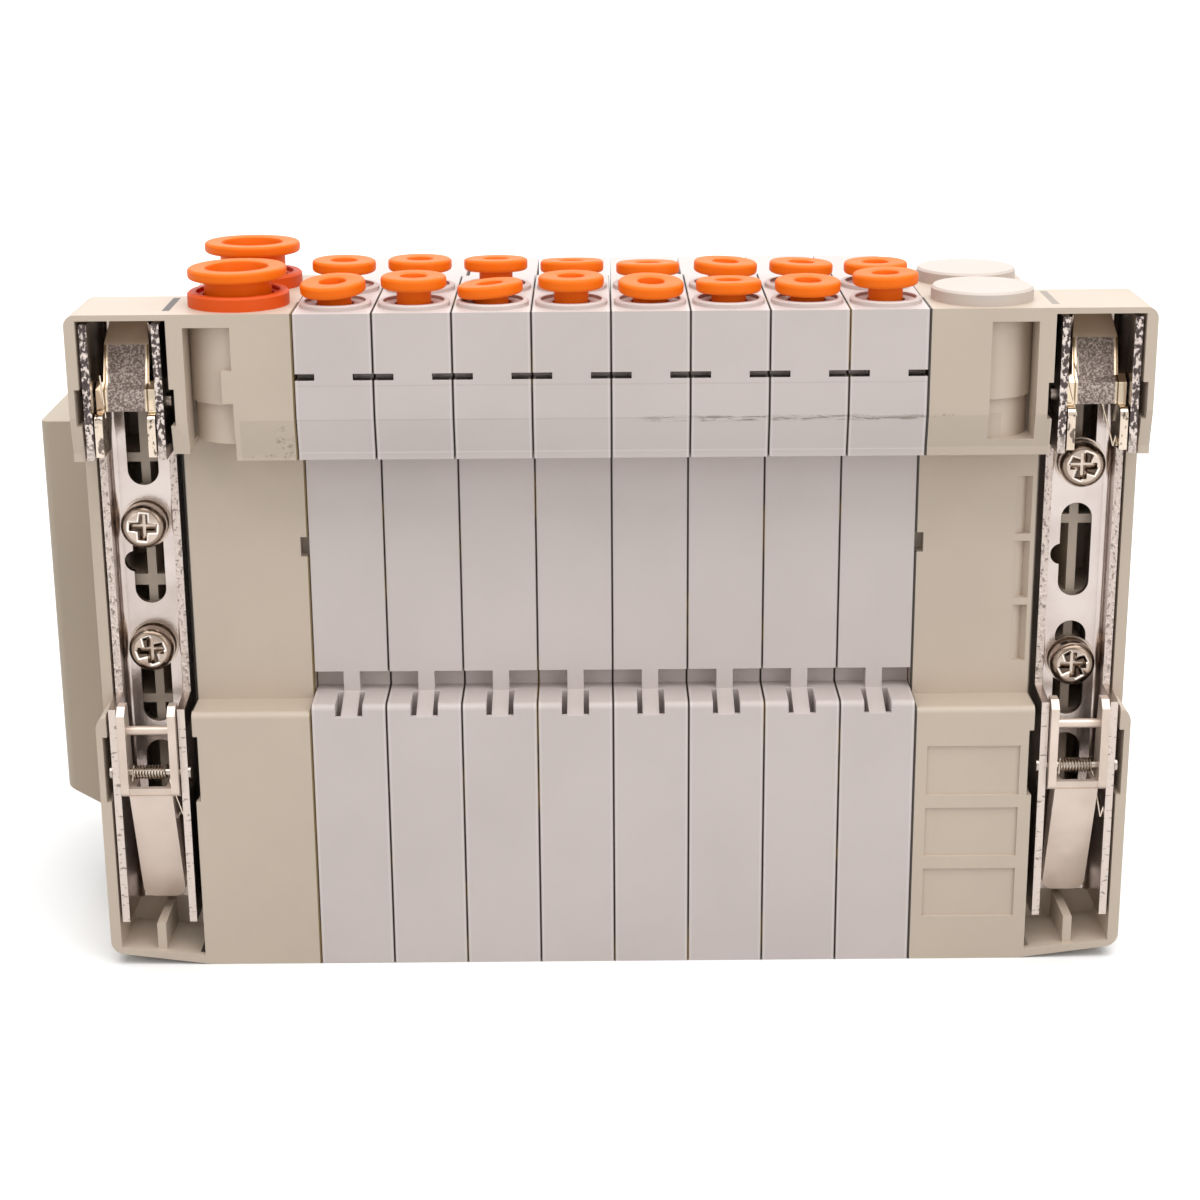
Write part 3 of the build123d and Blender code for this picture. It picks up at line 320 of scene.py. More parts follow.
def endPlastic():
    look = endLook
    material, tree, shader = newMaterial("endPlastic")
    colour = useGroup(tree, mouldedGroup, shader, {"Colour": look["colour"], "Soiled": look["dirtAndShade"],
                                                   "Mottle": 0.8, "Dirt": 0.45, "Grain": 0.3})
    spot = objectSpot(tree)
    x, y, z = parted(tree, spot)
    front = maths(tree, "LESS_THAN", y, look["frontBefore"] * mm)
    crumbs = ramp(tree, noise(tree, spot, look["crumbScale"], 6.0, 0.7), *look["crumbAt"])
    for middleX, middleZ, wide, tall, strength in look["scuffs"]:
        offX = maths(tree, "DIVIDE", maths(tree, "SUBTRACT", x, middleX * mm), wide * mm)
        offZ = maths(tree, "DIVIDE", maths(tree, "SUBTRACT", z, middleZ * mm), tall * mm)
        patch = fade(tree, lengthOf(tree, offX, offZ), look["scuffCore"], 1.0, strength, 0.0)
        colour = tinted(tree, colour, product(tree, patch, crumbs), front, look["dirtAndShade"])
    # Painted shade on the lip below its knee beside the row
    knee = product(tree, between(tree, z, look["lipLow"] * mm, look["kneeLevel"] * mm), front,
                   between(tree, x, look["kneeLeft"] * mm, look["kneeRight"] * mm))
    colour = tinted(tree, colour, knee, look["kneeShade"], look["dirtAndShade"])
    # Painted shade inside the shallow windows and just inside their rims, and a painted highlight just
    # outside them
    for turn in range(look["windows"]):
        middle = look["windowLow"] + turn * look["windowStep"]
        fromX = maths(tree, "ABSOLUTE", maths(tree, "SUBTRACT", x, look["windowX"] * mm))
        fromZ = maths(tree, "ABSOLUTE", maths(tree, "SUBTRACT", z, middle * mm))
        beyond = maths(tree, "MAXIMUM", maths(tree, "SUBTRACT", fromX, look["windowWide"] / 2 * mm),
                       maths(tree, "SUBTRACT", fromZ, look["windowTall"] / 2 * mm))
        inside = maths(tree, "LESS_THAN", beyond, 0.0)
        inner = nearLevel(tree, beyond, -look["rimIn"] * mm, look["rimHalf"] * mm)
        outer = nearLevel(tree, beyond, look["rimOut"] * mm, look["rimHalf"] * mm)
        colour = tinted(tree, colour, product(tree, inside, front), look["windowShade"], look["dirtAndShade"])
        colour = tinted(tree, colour, product(tree, inner, front), look["rimShade"], look["dirtAndShade"])
        colour = tinted(tree, colour, product(tree, outer, front), look["rimLight"], look["edge"])
    # Painted shade in the joint beside the row, and in the deep gap beside each bracket
    away = maths(tree, "ABSOLUTE", x)
    onRight = maths(tree, "GREATER_THAN", x, 0.0)
    joint = product(tree, maths(tree, "LESS_THAN", away, look["jointReach"] * mm),
                    maths(tree, "LESS_THAN", y, look["jointBack"] * mm))
    jointTint = blendColour(tree, onRight, look["jointGold"], look["dark"])
    colour = tinted(tree, colour, joint, look["jointShade"], jointTint)
    gap = product(tree, between(tree, away, look["gapFrom"] * mm, look["gapTo"] * mm),
                  between(tree, y, look["gapFront"] * mm, look["gapBack"] * mm))
    gapShade = fade(tree, onRight, 0.0, 1.0, look["gapShadeLeft"], look["gapShadeRight"])
    colour = tinted(tree, colour, gap, gapShade, look["dark"])
    tree.links.new(colour, shader.inputs["Base Color"])
    return material


# Plain plastics and metals

def plainPlastic(name, colour, dirtAndShade, mottle=0.5, dirt=0.2, grain=0.25, gloss=0.5):
    material, tree, shader = newMaterial(name)
    surface = useGroup(tree, mouldedGroup, shader, {"Colour": colour, "Soiled": dirtAndShade, "Mottle": mottle,
                                                    "Dirt": dirt, "Grain": grain})
    tree.links.new(surface, shader.inputs["Base Color"])
    shader.inputs["Specular IOR Level"].default_value = gloss
    return material


def platedMetal(name, colour, tarnish, tone=0.4, roughness=0.22, marks=0.15, metallic=1.0):
    material, tree, shader = newMaterial(name)
    surface = useGroup(tree, platedGroup, shader, {"Colour": colour, "Tarnish": tarnish, "Tone": tone,
                                                   "Roughness": roughness, "Marks": marks})
    tree.links.new(surface, shader.inputs["Base Color"])
    shader.inputs["Metallic"].default_value = metallic
    return material


# Sheet of the brackets: its cut edges are ticked below lowLevel, pitted above it and torn above tornLevel

bracketX = 64.8
bracketLook = {
    "colour": (0.57, 0.50, 0.465, 1), "tarnish": (0.38, 0.31, 0.275, 1), "roughness": 0.22,
    "shear": (0.60, 0.51, 0.46, 1), "lowShear": (0.56, 0.48, 0.43, 1), "pitting": (0.045, 0.033, 0.030, 1),
    "tornDark": (0.09, 0.07, 0.066, 1), "tornGlint": (0.68, 0.59, 0.54, 1),
    "lowLevel": 39.0, "lowFade": (-0.4, 1.6), "tornLevel": 74.5, "tornFade": 3.0, "edgeBack": 1.0,
    "tickScale": (900.0, 900.0, 2300.0), "tickAt": (0.60, 0.66), "pitAt": (0.54, 0.60), "pitShade": 0.6,
    "tornScale": (1900.0, 1900.0, 1300.0), "tornAt": (0.50, 0.55), "tornDepth": 0.6, "edgeDullness": 0.10,
    "lowRelief": 0.25, "sheetRelief": 0.04,
}


def bracketSheet():
    # Bright sheet whose cut edges face the rail side
    look = bracketLook
    material, tree, shader = newMaterial("bracketSheet")
    plated = useGroup(tree, platedGroup, shader, {"Colour": look["colour"], "Tarnish": look["tarnish"],
                                                  "Tone": 0.7, "Roughness": look["roughness"], "Marks": 0.12})
    spot = objectSpot(tree)
    x, y, z = parted(tree, spot)
    cutEdge = product(tree, facingRail(tree), maths(tree, "LESS_THAN", y, look["edgeBack"] * mm))
    above = fade(tree, z, *[(look["lowLevel"] + step) * mm for step in look["lowFade"]])
    high = fade(tree, z, look["tornLevel"] * mm, (look["tornLevel"] + look["tornFade"]) * mm)
    rough = noise(tree, stretched(tree, spot, look["tornScale"]), 1.0, 4.0, 0.65)
    ticks = noise(tree, stretched(tree, spot, look["tickScale"]), 1.0, 3.0, 0.6)
    pits = fade(tree, above, 0.0, 1.0, ramp(tree, ticks, *look["tickAt"]), ramp(tree, rough, *look["pitAt"]))
    shear = blendColour(tree, above, look["lowShear"], look["shear"])
    shear = tinted(tree, shear, pits, look["pitShade"], look["pitting"])
    # The torn edge mixes its dark colour with painted glints
    ragged = blendColour(tree, ramp(tree, rough, *look["tornAt"]), look["tornDark"], look["tornGlint"])
    shear = blendColour(tree, high, shear, ragged)
    tree.links.new(blendColour(tree, cutEdge, plated, shear), shader.inputs["Base Color"])
    shader.inputs["Metallic"].default_value = 1.0
    duller = product(tree, cutEdge, look["edgeDullness"])
    tree.links.new(maths(tree, "ADD", duller, look["roughness"]), shader.inputs["Roughness"])
    relief = product(tree, cutEdge, fade(tree, above, 0.0, 1.0, look["lowRelief"], 1.0))
    relief = maths(tree, "ADD", relief, look["sheetRelief"])
    tree.links.new(bumped(tree, relief, look["tornDepth"] * mm, rough), shader.inputs["Normal"])
    return material


# Rail clips

clipLook = {
    "bright": (0.70, 0.60, 0.50, 1), "tarnish": (0.46, 0.36, 0.27, 1), "worn": (0.13, 0.10, 0.085, 1),
    "glint": (0.44, 0.37, 0.33, 1), "brown": (0.16, 0.10, 0.05, 1), "gold": (0.66, 0.54, 0.40, 1),
    "scratch": (0.08, 0.06, 0.05, 1), "webHalf": 2.5, "webSoft": 0.1, "low": 80.7, "high": 89.5,
    "roughness": 0.16, "wornDullness": 0.28, "sparkleScale": 3400.0, "glintAt": (0.42, 0.66),
    "sparkleDepth": 0.12, "sparkleRelief": 0.6, "plainRelief": 0.03,
    "bendFrom": 2.55, "brownAt": 2.86, "brownHalf": 0.16, "brownShade": 0.9,
    "scratchScale": (1500.0, 1500.0, 900.0), "scratchAt": (0.55, 0.60), "scratchShade": 0.85,
}


def clipPlate():
    # The web's face is worn to a dark grey with painted glints, between its bright bends
    look = clipLook
    material, tree, shader = newMaterial("clipPlate")
    plated = useGroup(tree, platedGroup, shader, {"Colour": look["bright"], "Tarnish": look["tarnish"],
                                                  "Tone": 0.7, "Roughness": look["roughness"], "Marks": 0.12})
    spot = objectSpot(tree)
    x, y, z = parted(tree, spot)
    across = maths(tree, "ABSOLUTE", maths(tree, "SUBTRACT", maths(tree, "ABSOLUTE", x), bracketX * mm))
    onWeb = fade(tree, across, (look["webHalf"] - look["webSoft"]) * mm,
                 (look["webHalf"] + look["webSoft"]) * mm, 1.0, 0.0)
    inHeight = between(tree, z, look["low"] * mm, look["high"] * mm)
    worn = product(tree, onWeb, inHeight, facingRail(tree))
    sparkle = noise(tree, spot, look["sparkleScale"], 4.0, 0.75)
    wearAndGlints = blendColour(tree, ramp(tree, sparkle, *look["glintAt"]), look["worn"], look["glint"])
    # Bright bends with a brown line in each, and scratched ears below
    bends = product(tree, inHeight, maths(tree, "GREATER_THAN", across, look["bendFrom"] * mm))
    plated = blendColour(tree, bends, plated, look["gold"])
    brown = product(tree, bends, nearLevel(tree, across, look["brownAt"] * mm, look["brownHalf"] * mm))
    plated = tinted(tree, plated, brown, look["brownShade"], look["brown"])
    scratches = noise(tree, stretched(tree, spot, look["scratchScale"]), 1.0, 3.0, 0.6)
    scratches = ramp(tree, scratches, *look["scratchAt"])
    onEars = maths(tree, "LESS_THAN", z, look["low"] * mm)
    plated = tinted(tree, plated, product(tree, scratches, onEars), look["scratchShade"], look["scratch"])
    tree.links.new(blendColour(tree, worn, plated, wearAndGlints), shader.inputs["Base Color"])
    shader.inputs["Metallic"].default_value = 1.0
    duller = product(tree, worn, look["wornDullness"])
    tree.links.new(maths(tree, "ADD", duller, look["roughness"]), shader.inputs["Roughness"])
    relief = maths(tree, "ADD", product(tree, worn, look["sparkleRelief"]), look["plainRelief"])
    tree.links.new(bumped(tree, relief, look["sparkleDepth"] * mm, sparkle), shader.inputs["Normal"])
    return material


# Screws: a head is its middle in x and z, and the turn of its cross in degrees

screwLook = {
    "colour": (0.56, 0.47, 0.40, 1), "tarnish": (0.24, 0.17, 0.12, 1), "recess": (0.10, 0.070, 0.052, 1),
    "lip": (0.95, 0.86, 0.78, 1), "ring": (0.16, 0.11, 0.075, 1),
    "heads": ((-bracketX, 45.4, 18), (-bracketX, 63.3, -6), (bracketX, 42.2, 28), (bracketX, 71.0, -24)),
    "headBack": 0.9, "radius": 3.15, "dome": 0.55, "ringRadius": 2.55, "ringHalf": 0.35, "ringShade": 0.75,
    "armHalf": 0.77, "armTaper": 0.14, "armReach": 1.9, "depth": 0.5, "flare": (-0.35, 0.30),
    "recessEdge": (-0.10, 0.05), "lipAt": 0.14, "lipHalf": 0.16, "lipLight": 0.8, "besideCross": 0.1,
}


def screwMetal():
    # Domed cross-recess heads: the dome and the flared recess are worked out round each head's middle
    look = screwLook
    material, tree, shader = newMaterial("screwNickel")
    plated = useGroup(tree, platedGroup, shader, {"Colour": look["colour"], "Tarnish": look["tarnish"],
                                                  "Tone": 0.7, "Roughness": 0.16, "Marks": 0.10})
    spot = objectSpot(tree)
    radius, cross = 1.0, 1.0
    for middleX, middleZ, turn in look["heads"]:
        centred = addNode(tree, "ShaderNodeMapping",
                          {"Vector": spot, "Location": (-middleX * mm, 0, -middleZ * mm)}).outputs["Vector"]
        squared = addNode(tree, "ShaderNodeVectorRotate", {"Vector": centred, "Angle": radians(turn)},
                          rotation_type="Y_AXIS").outputs["Vector"]
        ways = parted(tree, squared)
        u, v = maths(tree, "ABSOLUTE", ways["X"]), maths(tree, "ABSOLUTE", ways["Z"])
        away = lengthOf(tree, u, v)
        radius = maths(tree, "MINIMUM", away, radius)
        # Each arm of the cross widens a little towards the middle
        half = maths(tree, "SUBTRACT", look["armHalf"] * mm, product(tree, away, look["armTaper"]))
        for along, beside in ((u, v), (v, u)):
            arm = maths(tree, "MAXIMUM", maths(tree, "SUBTRACT", along, look["armReach"] * mm),
                        maths(tree, "SUBTRACT", beside, half))
            cross = maths(tree, "MINIMUM", arm, cross)
    onTop = product(tree, maths(tree, "LESS_THAN", parted(tree, spot)["Y"], look["headBack"] * mm),
                    maths(tree, "LESS_THAN", radius, look["radius"] * mm))
    # Painted highlight on the lip of the recess, painted shade in a ring round the dome and painted shade
    # inside the recess
    lip = product(tree, nearLevel(tree, cross, look["lipAt"] * mm, look["lipHalf"] * mm), onTop)
    colour = tinted(tree, plated, lip, look["lipLight"], look["lip"])
    ring = product(tree, nearLevel(tree, radius, look["ringRadius"] * mm, look["ringHalf"] * mm), onTop,
                   maths(tree, "GREATER_THAN", cross, look["besideCross"] * mm))
    colour = tinted(tree, colour, ring, look["ringShade"], look["ring"])
    inRecess = ramp(tree, cross, look["recessEdge"][0] * mm, look["recessEdge"][1] * mm, 1.0, 0.0)
    tree.links.new(tinted(tree, colour, inRecess, onTop, look["recess"]), shader.inputs["Base Color"])
    shader.inputs["Metallic"].default_value = 1.0
    share = maths(tree, "DIVIDE", radius, look["radius"] * mm)
    dome = product(tree, share, share, -look["dome"] * mm)
    sunk = ramp(tree, cross, look["flare"][0] * mm, look["flare"][1] * mm, -look["depth"] * mm, 0.0)
    height = product(tree, onTop, maths(tree, "ADD", dome, sunk))
    tree.links.new(bumped(tree, 1.0, 1.0, height), shader.inputs["Normal"])
    return material


finish = {
    "block": blockPlastic(),
    "end": endPlastic(),
    "ring": plainPlastic("ringPlastic", (0.62, 0.54, 0.51, 1), (0.45, 0.22, 0.15, 1), 0.9, 0.5),
    "plug": plainPlastic("plugPlastic", (0.57, 0.495, 0.44, 1), (0.35, 0.30, 0.25, 1), 0.4, 0.15),
    "button": plainPlastic("orangePlastic", (0.90, 0.16, 0.002, 1), (0.62, 0.09, 0.001, 1), 0.4, 0.0, 0.15,
                           0.2),
    "collar": plainPlastic("redOrangePlastic", (0.72, 0.085, 0.003, 1), (0.35, 0.04, 0.01, 1), 0.6, 0.3,
                           0.25, 0.25),
    # The connector's plastic is the end blocks' beige, darkened as painted shade
    "connector": plainPlastic("shadedConnectorPlastic", (0.44, 0.36, 0.275, 1), (0.20, 0.165, 0.13, 1), 0.6, 0.3,
                              0.3),
    "override": plainPlastic("overridePlastic", (0.60, 0.53, 0.50, 1), (0.25, 0.2, 0.15, 1)),
    "insulator": plainPlastic("insulatorPlastic", (0.018, 0.018, 0.02, 1), (0.05, 0.05, 0.05, 1)),
    "bracket": bracketSheet(),
    "clip": clipPlate(),
    "tongue": platedMetal("tongueSteel", (0.72, 0.60, 0.52, 1), (0.52, 0.42, 0.34, 1), 0.7, 0.30, 0.03, 0.45),
    "screw": screwMetal(),
    # The pins and the coiled wire are darkened as painted shade among and behind the turns, darker than the
    # free legs
    "pin": platedMetal("shadedPinSteel", (0.50, 0.44, 0.40, 1), (0.28, 0.23, 0.19, 1), 0.5, 0.20, 0.10),
    "wire": platedMetal("shadedSpringWire", (0.50, 0.43, 0.36, 1), (0.22, 0.16, 0.11, 1), 0.6, 0.14, 0.05),
    "leg": platedMetal("legWire", (0.80, 0.71, 0.60, 1), (0.50, 0.40, 0.30, 1), 0.5, 0.2, 0.05),
    "pinGold": platedMetal("pinGold", (0.78, 0.56, 0.24, 1), (0.60, 0.42, 0.18, 1), 0.4, 0.2, 0.05),
    "collet": platedMetal("colletSteel", (0.65, 0.62, 0.58, 1), (0.40, 0.35, 0.30, 1), 0.4, 0.2, 0.1),
    "shell": platedMetal("tinShell", (0.50, 0.48, 0.45, 1), (0.34, 0.32, 0.29, 1), 0.5, 0.34, 0.15),
}
print("materials ready")


# CAD nodes: softened copies with better finishes, each with the width of its rounded edges

softEdges = {
    "manifold_block": ("block", 0.14), "left_end_block": ("end", 0.16), "right_end_block": ("end", 0.16),
    "valve_body": ("block", 0.2), "valve_screws": ("screw", 0.0), "manual_override": ("override", 0.1),
    "port_cartridges": ("ring", 0.0), "tube_collets": ("collet", 0.0), "port_plugs": ("plug", 0.0),
    "supply_collars": ("collar", 0.0), "bracket_left": ("bracket", 0.05), "bracket_right": ("bracket", 0.05),
    "bracket_screws": ("screw", 0.05), "rail_clip": ("clip", 0.12), "rail_latch": ("tongue", 0.12),
    "pivot_pins": ("pin", 0.0), "connector_housing": ("connector", 0.35), "connector_insert": ("shell", 0.0),
}
softening = {"merge": 0.002, "flat": 0.6, "smooth": 32, "newSmooth": 40, "bevelFrom": 40, "segments": 2}


def dress(mesh, material):
    mesh.materials.clear()
    mesh.materials.append(material)


def showPiece(mesh, name, finishName, smooth):
    # Puts a mesh in the scene with its finish, smooth but for the edges over the given angle
    piece = bpy.data.objects.new(name, mesh)
    bpy.context.scene.collection.objects.link(piece)
    dress(mesh, finish[finishName])
    mesh.shade_smooth()
    mesh.set_sharp_from_angle(angle=radians(smooth))
    return piece


def softened(node, finishName, width):
    # A merged copy of a node with its sharp edges rounded off
    source = nodes[node]
    mesh = bpy.data.meshes.new(node + "_soft")
    bm = bmesh.new()
    bm.from_mesh(source.data)
    bmesh.ops.remove_doubles(bm, verts=bm.verts, dist=softening["merge"] * mm)
    bmesh.ops.dissolve_limit(bm, angle_limit=radians(softening["flat"]), verts=bm.verts, edges=bm.edges)
    bm.to_mesh(mesh)
    bm.free()
    piece = showPiece(mesh, node + "_soft", finishName, softening["smooth"])
    if width:
        bevel = piece.modifiers.new("edges", "BEVEL")
        bevel.limit_method = "ANGLE"
        bevel.angle_limit = radians(softening["bevelFrom"])
        bevel.width = width * mm
        bevel.segments = softening["segments"]
        bevel.harden_normals = finishName == "clip"
    if finishName != "clip":
        evened = piece.modifiers.new("normals", "WEIGHTED_NORMAL")
        evened.keep_sharp = True
    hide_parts(node)
    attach(piece, source["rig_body"])


for node in sorted(nodes):
    for start, (finishName, width) in softEdges.items():
        if node.startswith(start):
            softened(node, finishName, width)
print("CAD nodes dressed")


def newPiece(bm, name, finishName, body, replaced=()):
    mesh = bpy.data.meshes.new(name)
    bmesh.ops.recalc_face_normals(bm, faces=bm.faces)
    bm.to_mesh(mesh)
    bm.free()
    piece = showPiece(mesh, name, finishName, softening["newSmooth"])
    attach(piece, body)
    for node in replaced:
        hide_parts(node)


# Release buttons, in millimetres and degrees: each is lifted out of its port and leans a little

smallPort = {"pitch": 10.5, "stations": 8, "rim": 95.1, "frontY": -1.8, "rowGap": 12.6, "dish": 0.4,
             "lipInner": 2.56, "lipOuter": 3.3, "hole": 1.7, "stem": 2.3, "flange": 4.375, "thick": 1.65,
             "edge": 0.5, "stemLength": 5.6, "lead": 0.45, "steps": 64}
frontRow = {"lift": (1.1, 1.65, 0.6, 1.5, 0.8, 0.75, 0.7, 1.6),
            "leanX": (5.0, 0.5, -1.0, 0.5, 5.0, -2.0, 2.5, 0.5),
            "leanY": (-3.0, 0.5, -5.0, 0.0, 2.0, 0.0, 0.5, -1.5)}
backRow = {"lift": (1.8, 1.9, 1.8, 1.45, 1.1, 1.25, 1.05, 1.0),
           "leanX": (0.5, -0.5, -3.0, -4.5, -4.0, 0.5, -1.0, 0.0),
           "leanY": (1.0, 0.5, 0.0, 0.0, 0.0, 3.0, 2.5, -0.5)}
largePort = {"x": -49.9, "rim": 96.3, "frontY": 0.1, "rowGap": 15.2, "dish": 0.5, "lipInner": 4.78,
             "lipOuter": 5.6, "hole": 4.1, "stem": 4.5, "flange": 6.6, "thick": 1.45, "edge": 0.45,
             "stemLength": 7.0, "lead": 0.45, "steps": 80}
largeRow = {"lift": (1.75, 2.75), "leanX": (0.5, -0.5), "leanY": (-0.5, 0.5)}
pivotDepth = 2.0
stemBend = 0.2


def turned(bm, outline, steps):
    # A closed outline of radius and height, turned round the Z axis
    verts = [bm.verts.new((radius * mm, 0, height * mm)) for radius, height in outline]
    edges = [bm.edges.new((verts[i], verts[(i + 1) % len(verts)])) for i in range(len(verts))]
    bmesh.ops.spin(bm, geom=verts + edges, cent=(0, 0, 0), axis=(0, 0, 1), angle=2 * pi, steps=steps,
                   use_merge=True)


def quarter(middle, radius, start, count=6, turn=1):
    # Points of a quarter circle, from its start angle: anticlockwise, or clockwise with a turn of -1
    angles = [start + turn * i * pi / 2 / count for i in range(count + 1)]
    return [(middle[0] + radius * cos(angle), middle[1] + radius * sin(angle)) for angle in angles]


def buttonOutline(port, lift):
    under = pivotDepth + lift
    top = under + port["thick"]
    foot = under - port["stemLength"]
    hole, stem, edge, lead = port["hole"], port["stem"], port["edge"], port["lead"]
    reach = port["flange"] - edge
    # Up the stem, through the bend under the flange, round its rim and down the hole's lead-in
    outline = [(hole, foot), (stem, foot)]
    outline += quarter((stem + stemBend, under - stemBend), stemBend, pi, 3, -1)
    outline += quarter((reach, under + edge), edge, -pi / 2)
    outline += quarter((reach, top - edge), edge, 0)
    return outline + [(hole + lead, top), (hole + lead * 0.3, top - lead * 0.3), (hole, top - lead)]


def releaseButton(name, node, port, x, y, lift, leanX, leanY):
    bm = bmesh.new()
    turned(bm, buttonOutline(port, lift), port["steps"])
    # The button leans about a point on its axis, a little below the rim of its ring
    place = (Matrix.Translation(Vector((x, y, port["rim"] - pivotDepth)) * mm)
             @ Matrix.Rotation(radians(leanX), 4, "X") @ Matrix.Rotation(radians(leanY), 4, "Y"))
    bmesh.ops.transform(bm, matrix=place, verts=bm.verts)
    newPiece(bm, name, "button", nodes[node]["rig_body"], [node])


def stationX(station):
    return (station - (smallPort["stations"] - 1) / 2) * smallPort["pitch"]


def rowY(port, row):
    return port["frontY"] + row * port["rowGap"]


for index, (rowName, row) in enumerate((("front", frontRow), ("back", backRow))):
    for station, lean in enumerate(zip(row["lift"], row["leanX"], row["leanY"])):
        releaseButton(f"button_{rowName}_{station + 1}", f"release_button_{rowName}_{station + 1}", smallPort,
                      stationX(station), rowY(smallPort, index), *lean)
for index, lean in enumerate(zip(largeRow["lift"], largeRow["leanX"], largeRow["leanY"])):
    node = ("supply_button", "exhaust_button")[index]
    releaseButton(node + "_turned", node, largePort, largePort["x"], rowY(largePort, index), *lean)


# Lips round the stems, in the dishes of the rings and of the collars

stemLip = {"height": 0.3, "lift": 0.01}


def stemLips(name, port, spots, finishName):
    bm = bmesh.new()
    level = port["rim"] - port["dish"] + stemLip["lift"]
    low = level - stemLip["height"]
    for x, y in spots:
        part = bmesh.new()
        turned(part, [(port["lipInner"], low), (port["lipOuter"], low), (port["lipOuter"], level),
                      (port["lipInner"], level)], port["steps"])
        bmesh.ops.translate(part, verts=part.verts, vec=(x * mm, y * mm, 0))
        scratch = bpy.data.meshes.new("lip")
        part.to_mesh(scratch)
        part.free()
        bm.from_mesh(scratch)
        bpy.data.meshes.remove(scratch)
    newPiece(bm, name, finishName, "base")


smallSpots = [(stationX(station), rowY(smallPort, row))
              for row in range(2) for station in range(smallPort["stations"])]
stemLips("dish_lips", smallPort, smallSpots, "ring")
largeSpots = [(largePort["x"], rowY(largePort, row)) for row in range(2)]
stemLips("collar_lips", largePort, largeSpots, "collar")
print("buttons turned")


# Torsion springs on the pivot pins, in millimetres: a leg is a list of straight runs from the end of the coil

latchSpring = {"pinY": -5.2, "pinZ": 29.3, "radius": 0.92, "wire": 0.24, "turns": 11, "length": 4.6,
               "sides": 6, "steps": 14, "frontLeg": ((0, -0.5, 0.1), (-0.2, -0.4, -2.0)),
               "backLeg": ((0, 0.6, 0), (0.5, 1.2, -9.0), (0.6, 0, 1.2))}
clipSpring = {"pinY": -2.6, "pinZ": 81.9, "radius": 0.84, "wire": 0.24, "turns": 9, "length": 3.4,
              "sides": 6, "steps": 14, "frontLeg": ((-0.3, -1.6, 0.3), (-0.6, -0.2, 4.0)),
              "backLeg": ((0.1, 0.9, 0), (0.5, 1.2, -5.2))}
# The free legs beside the coils, each a bent wire through a few points
freeLegs = {
    "wire": 0.24, "sides": 8,
    "paths": (
        ((-68.0, -6.0, 86.0), (-67.75, -5.0, 80.0), (-67.0, -3.4, 79.6)),
        ((60.7, -6.0, 85.2), (62.4, -5.0, 79.3), (62.9, -3.4, 79.0)),
        ((65.5, -4.2, 82.0), (65.7, -5.5, 81.0), (67.5, -5.0, 75.1), (68.5, -5.0, 79.6), (68.4, -3.6, 80.4)),
        ((67.2, -4.2, 28.4), (67.5, -4.7, 27.4), (68.7, -5.0, 21.3), (69.3, -4.6, 23.4)),
        ((-62.4, -4.4, 28.4), (-62.2, -5.0, 27.6), (-60.7, -5.0, 22.8)),
    ),
}


def facesOf(geometry):
    return [item for item in geometry if isinstance(item, bmesh.types.BMFace)]


def wireSection(bm, wire, sides):
    # A capped circle flat on the origin, the cross-section of a wire
    return bmesh.ops.create_circle(bm, cap_ends=True, segments=sides, radius=wire / 2 * mm)["verts"]


def wireLeg(bm, face, moves):
    # Draws a wire on from its end face, one straight run for each move
    for move in moves:
        run = bmesh.ops.extrude_face_region(bm, geom=[face])
        bmesh.ops.delete(bm, geom=[face], context="FACES_ONLY")
        face = facesOf(run["geom"])[0]
        bmesh.ops.translate(bm, verts=face.verts, vec=Vector(move) * mm)


def torsionSpring(bm, spring, middleX):
    start = Vector((middleX - spring["length"] / 2, spring["pinY"], spring["pinZ"])) * mm
    # The section stands in the plane that holds the pin's axis
    section = wireSection(bm, spring["wire"], spring["sides"])
    bmesh.ops.rotate(bm, verts=section, cent=(0, 0, 0), matrix=Matrix.Rotation(pi / 2, 3, "X"))
    bmesh.ops.translate(bm, verts=section, vec=start + Vector((0, 0, spring["radius"] * mm)))
    face = section[0].link_faces[0]
    startVerts = list(face.verts)
    steps = spring["turns"] * spring["steps"]
    wound = bmesh.ops.spin(bm, geom=[face] + list(face.edges) + list(face.verts), cent=start, axis=(1, 0, 0),
                           dvec=Vector((spring["length"] / steps * mm, 0, 0)), angle=2 * pi * spring["turns"],
                           steps=steps)
    lastFace = facesOf(wound["geom_last"])[0]
    firstFace = [f for f in startVerts[0].link_faces if all(v in f.verts for v in startVerts)][0]
    wireLeg(bm, firstFace, spring["frontLeg"])
    wireLeg(bm, lastFace, spring["backLeg"])


bm = bmesh.new()
for side in (-1, 1):
    torsionSpring(bm, latchSpring, side * bracketX)
    torsionSpring(bm, clipSpring, side * bracketX)
newPiece(bm, "torsion_wires", "wire", "base", ["torsion_springs"])

bm = bmesh.new()
for points in freeLegs["paths"]:
    section = wireSection(bm, freeLegs["wire"], freeLegs["sides"])
    bmesh.ops.translate(bm, verts=section, vec=Vector(points[0]) * mm)
    moves = [Vector(after) - Vector(before) for before, after in zip(points, points[1:])]
    wireLeg(bm, section[0].link_faces[0], moves)
newPiece(bm, "spring_legs", "leg", "base")
print("springs wound")


# Contact face and pins in the connector's shell, in millimetres

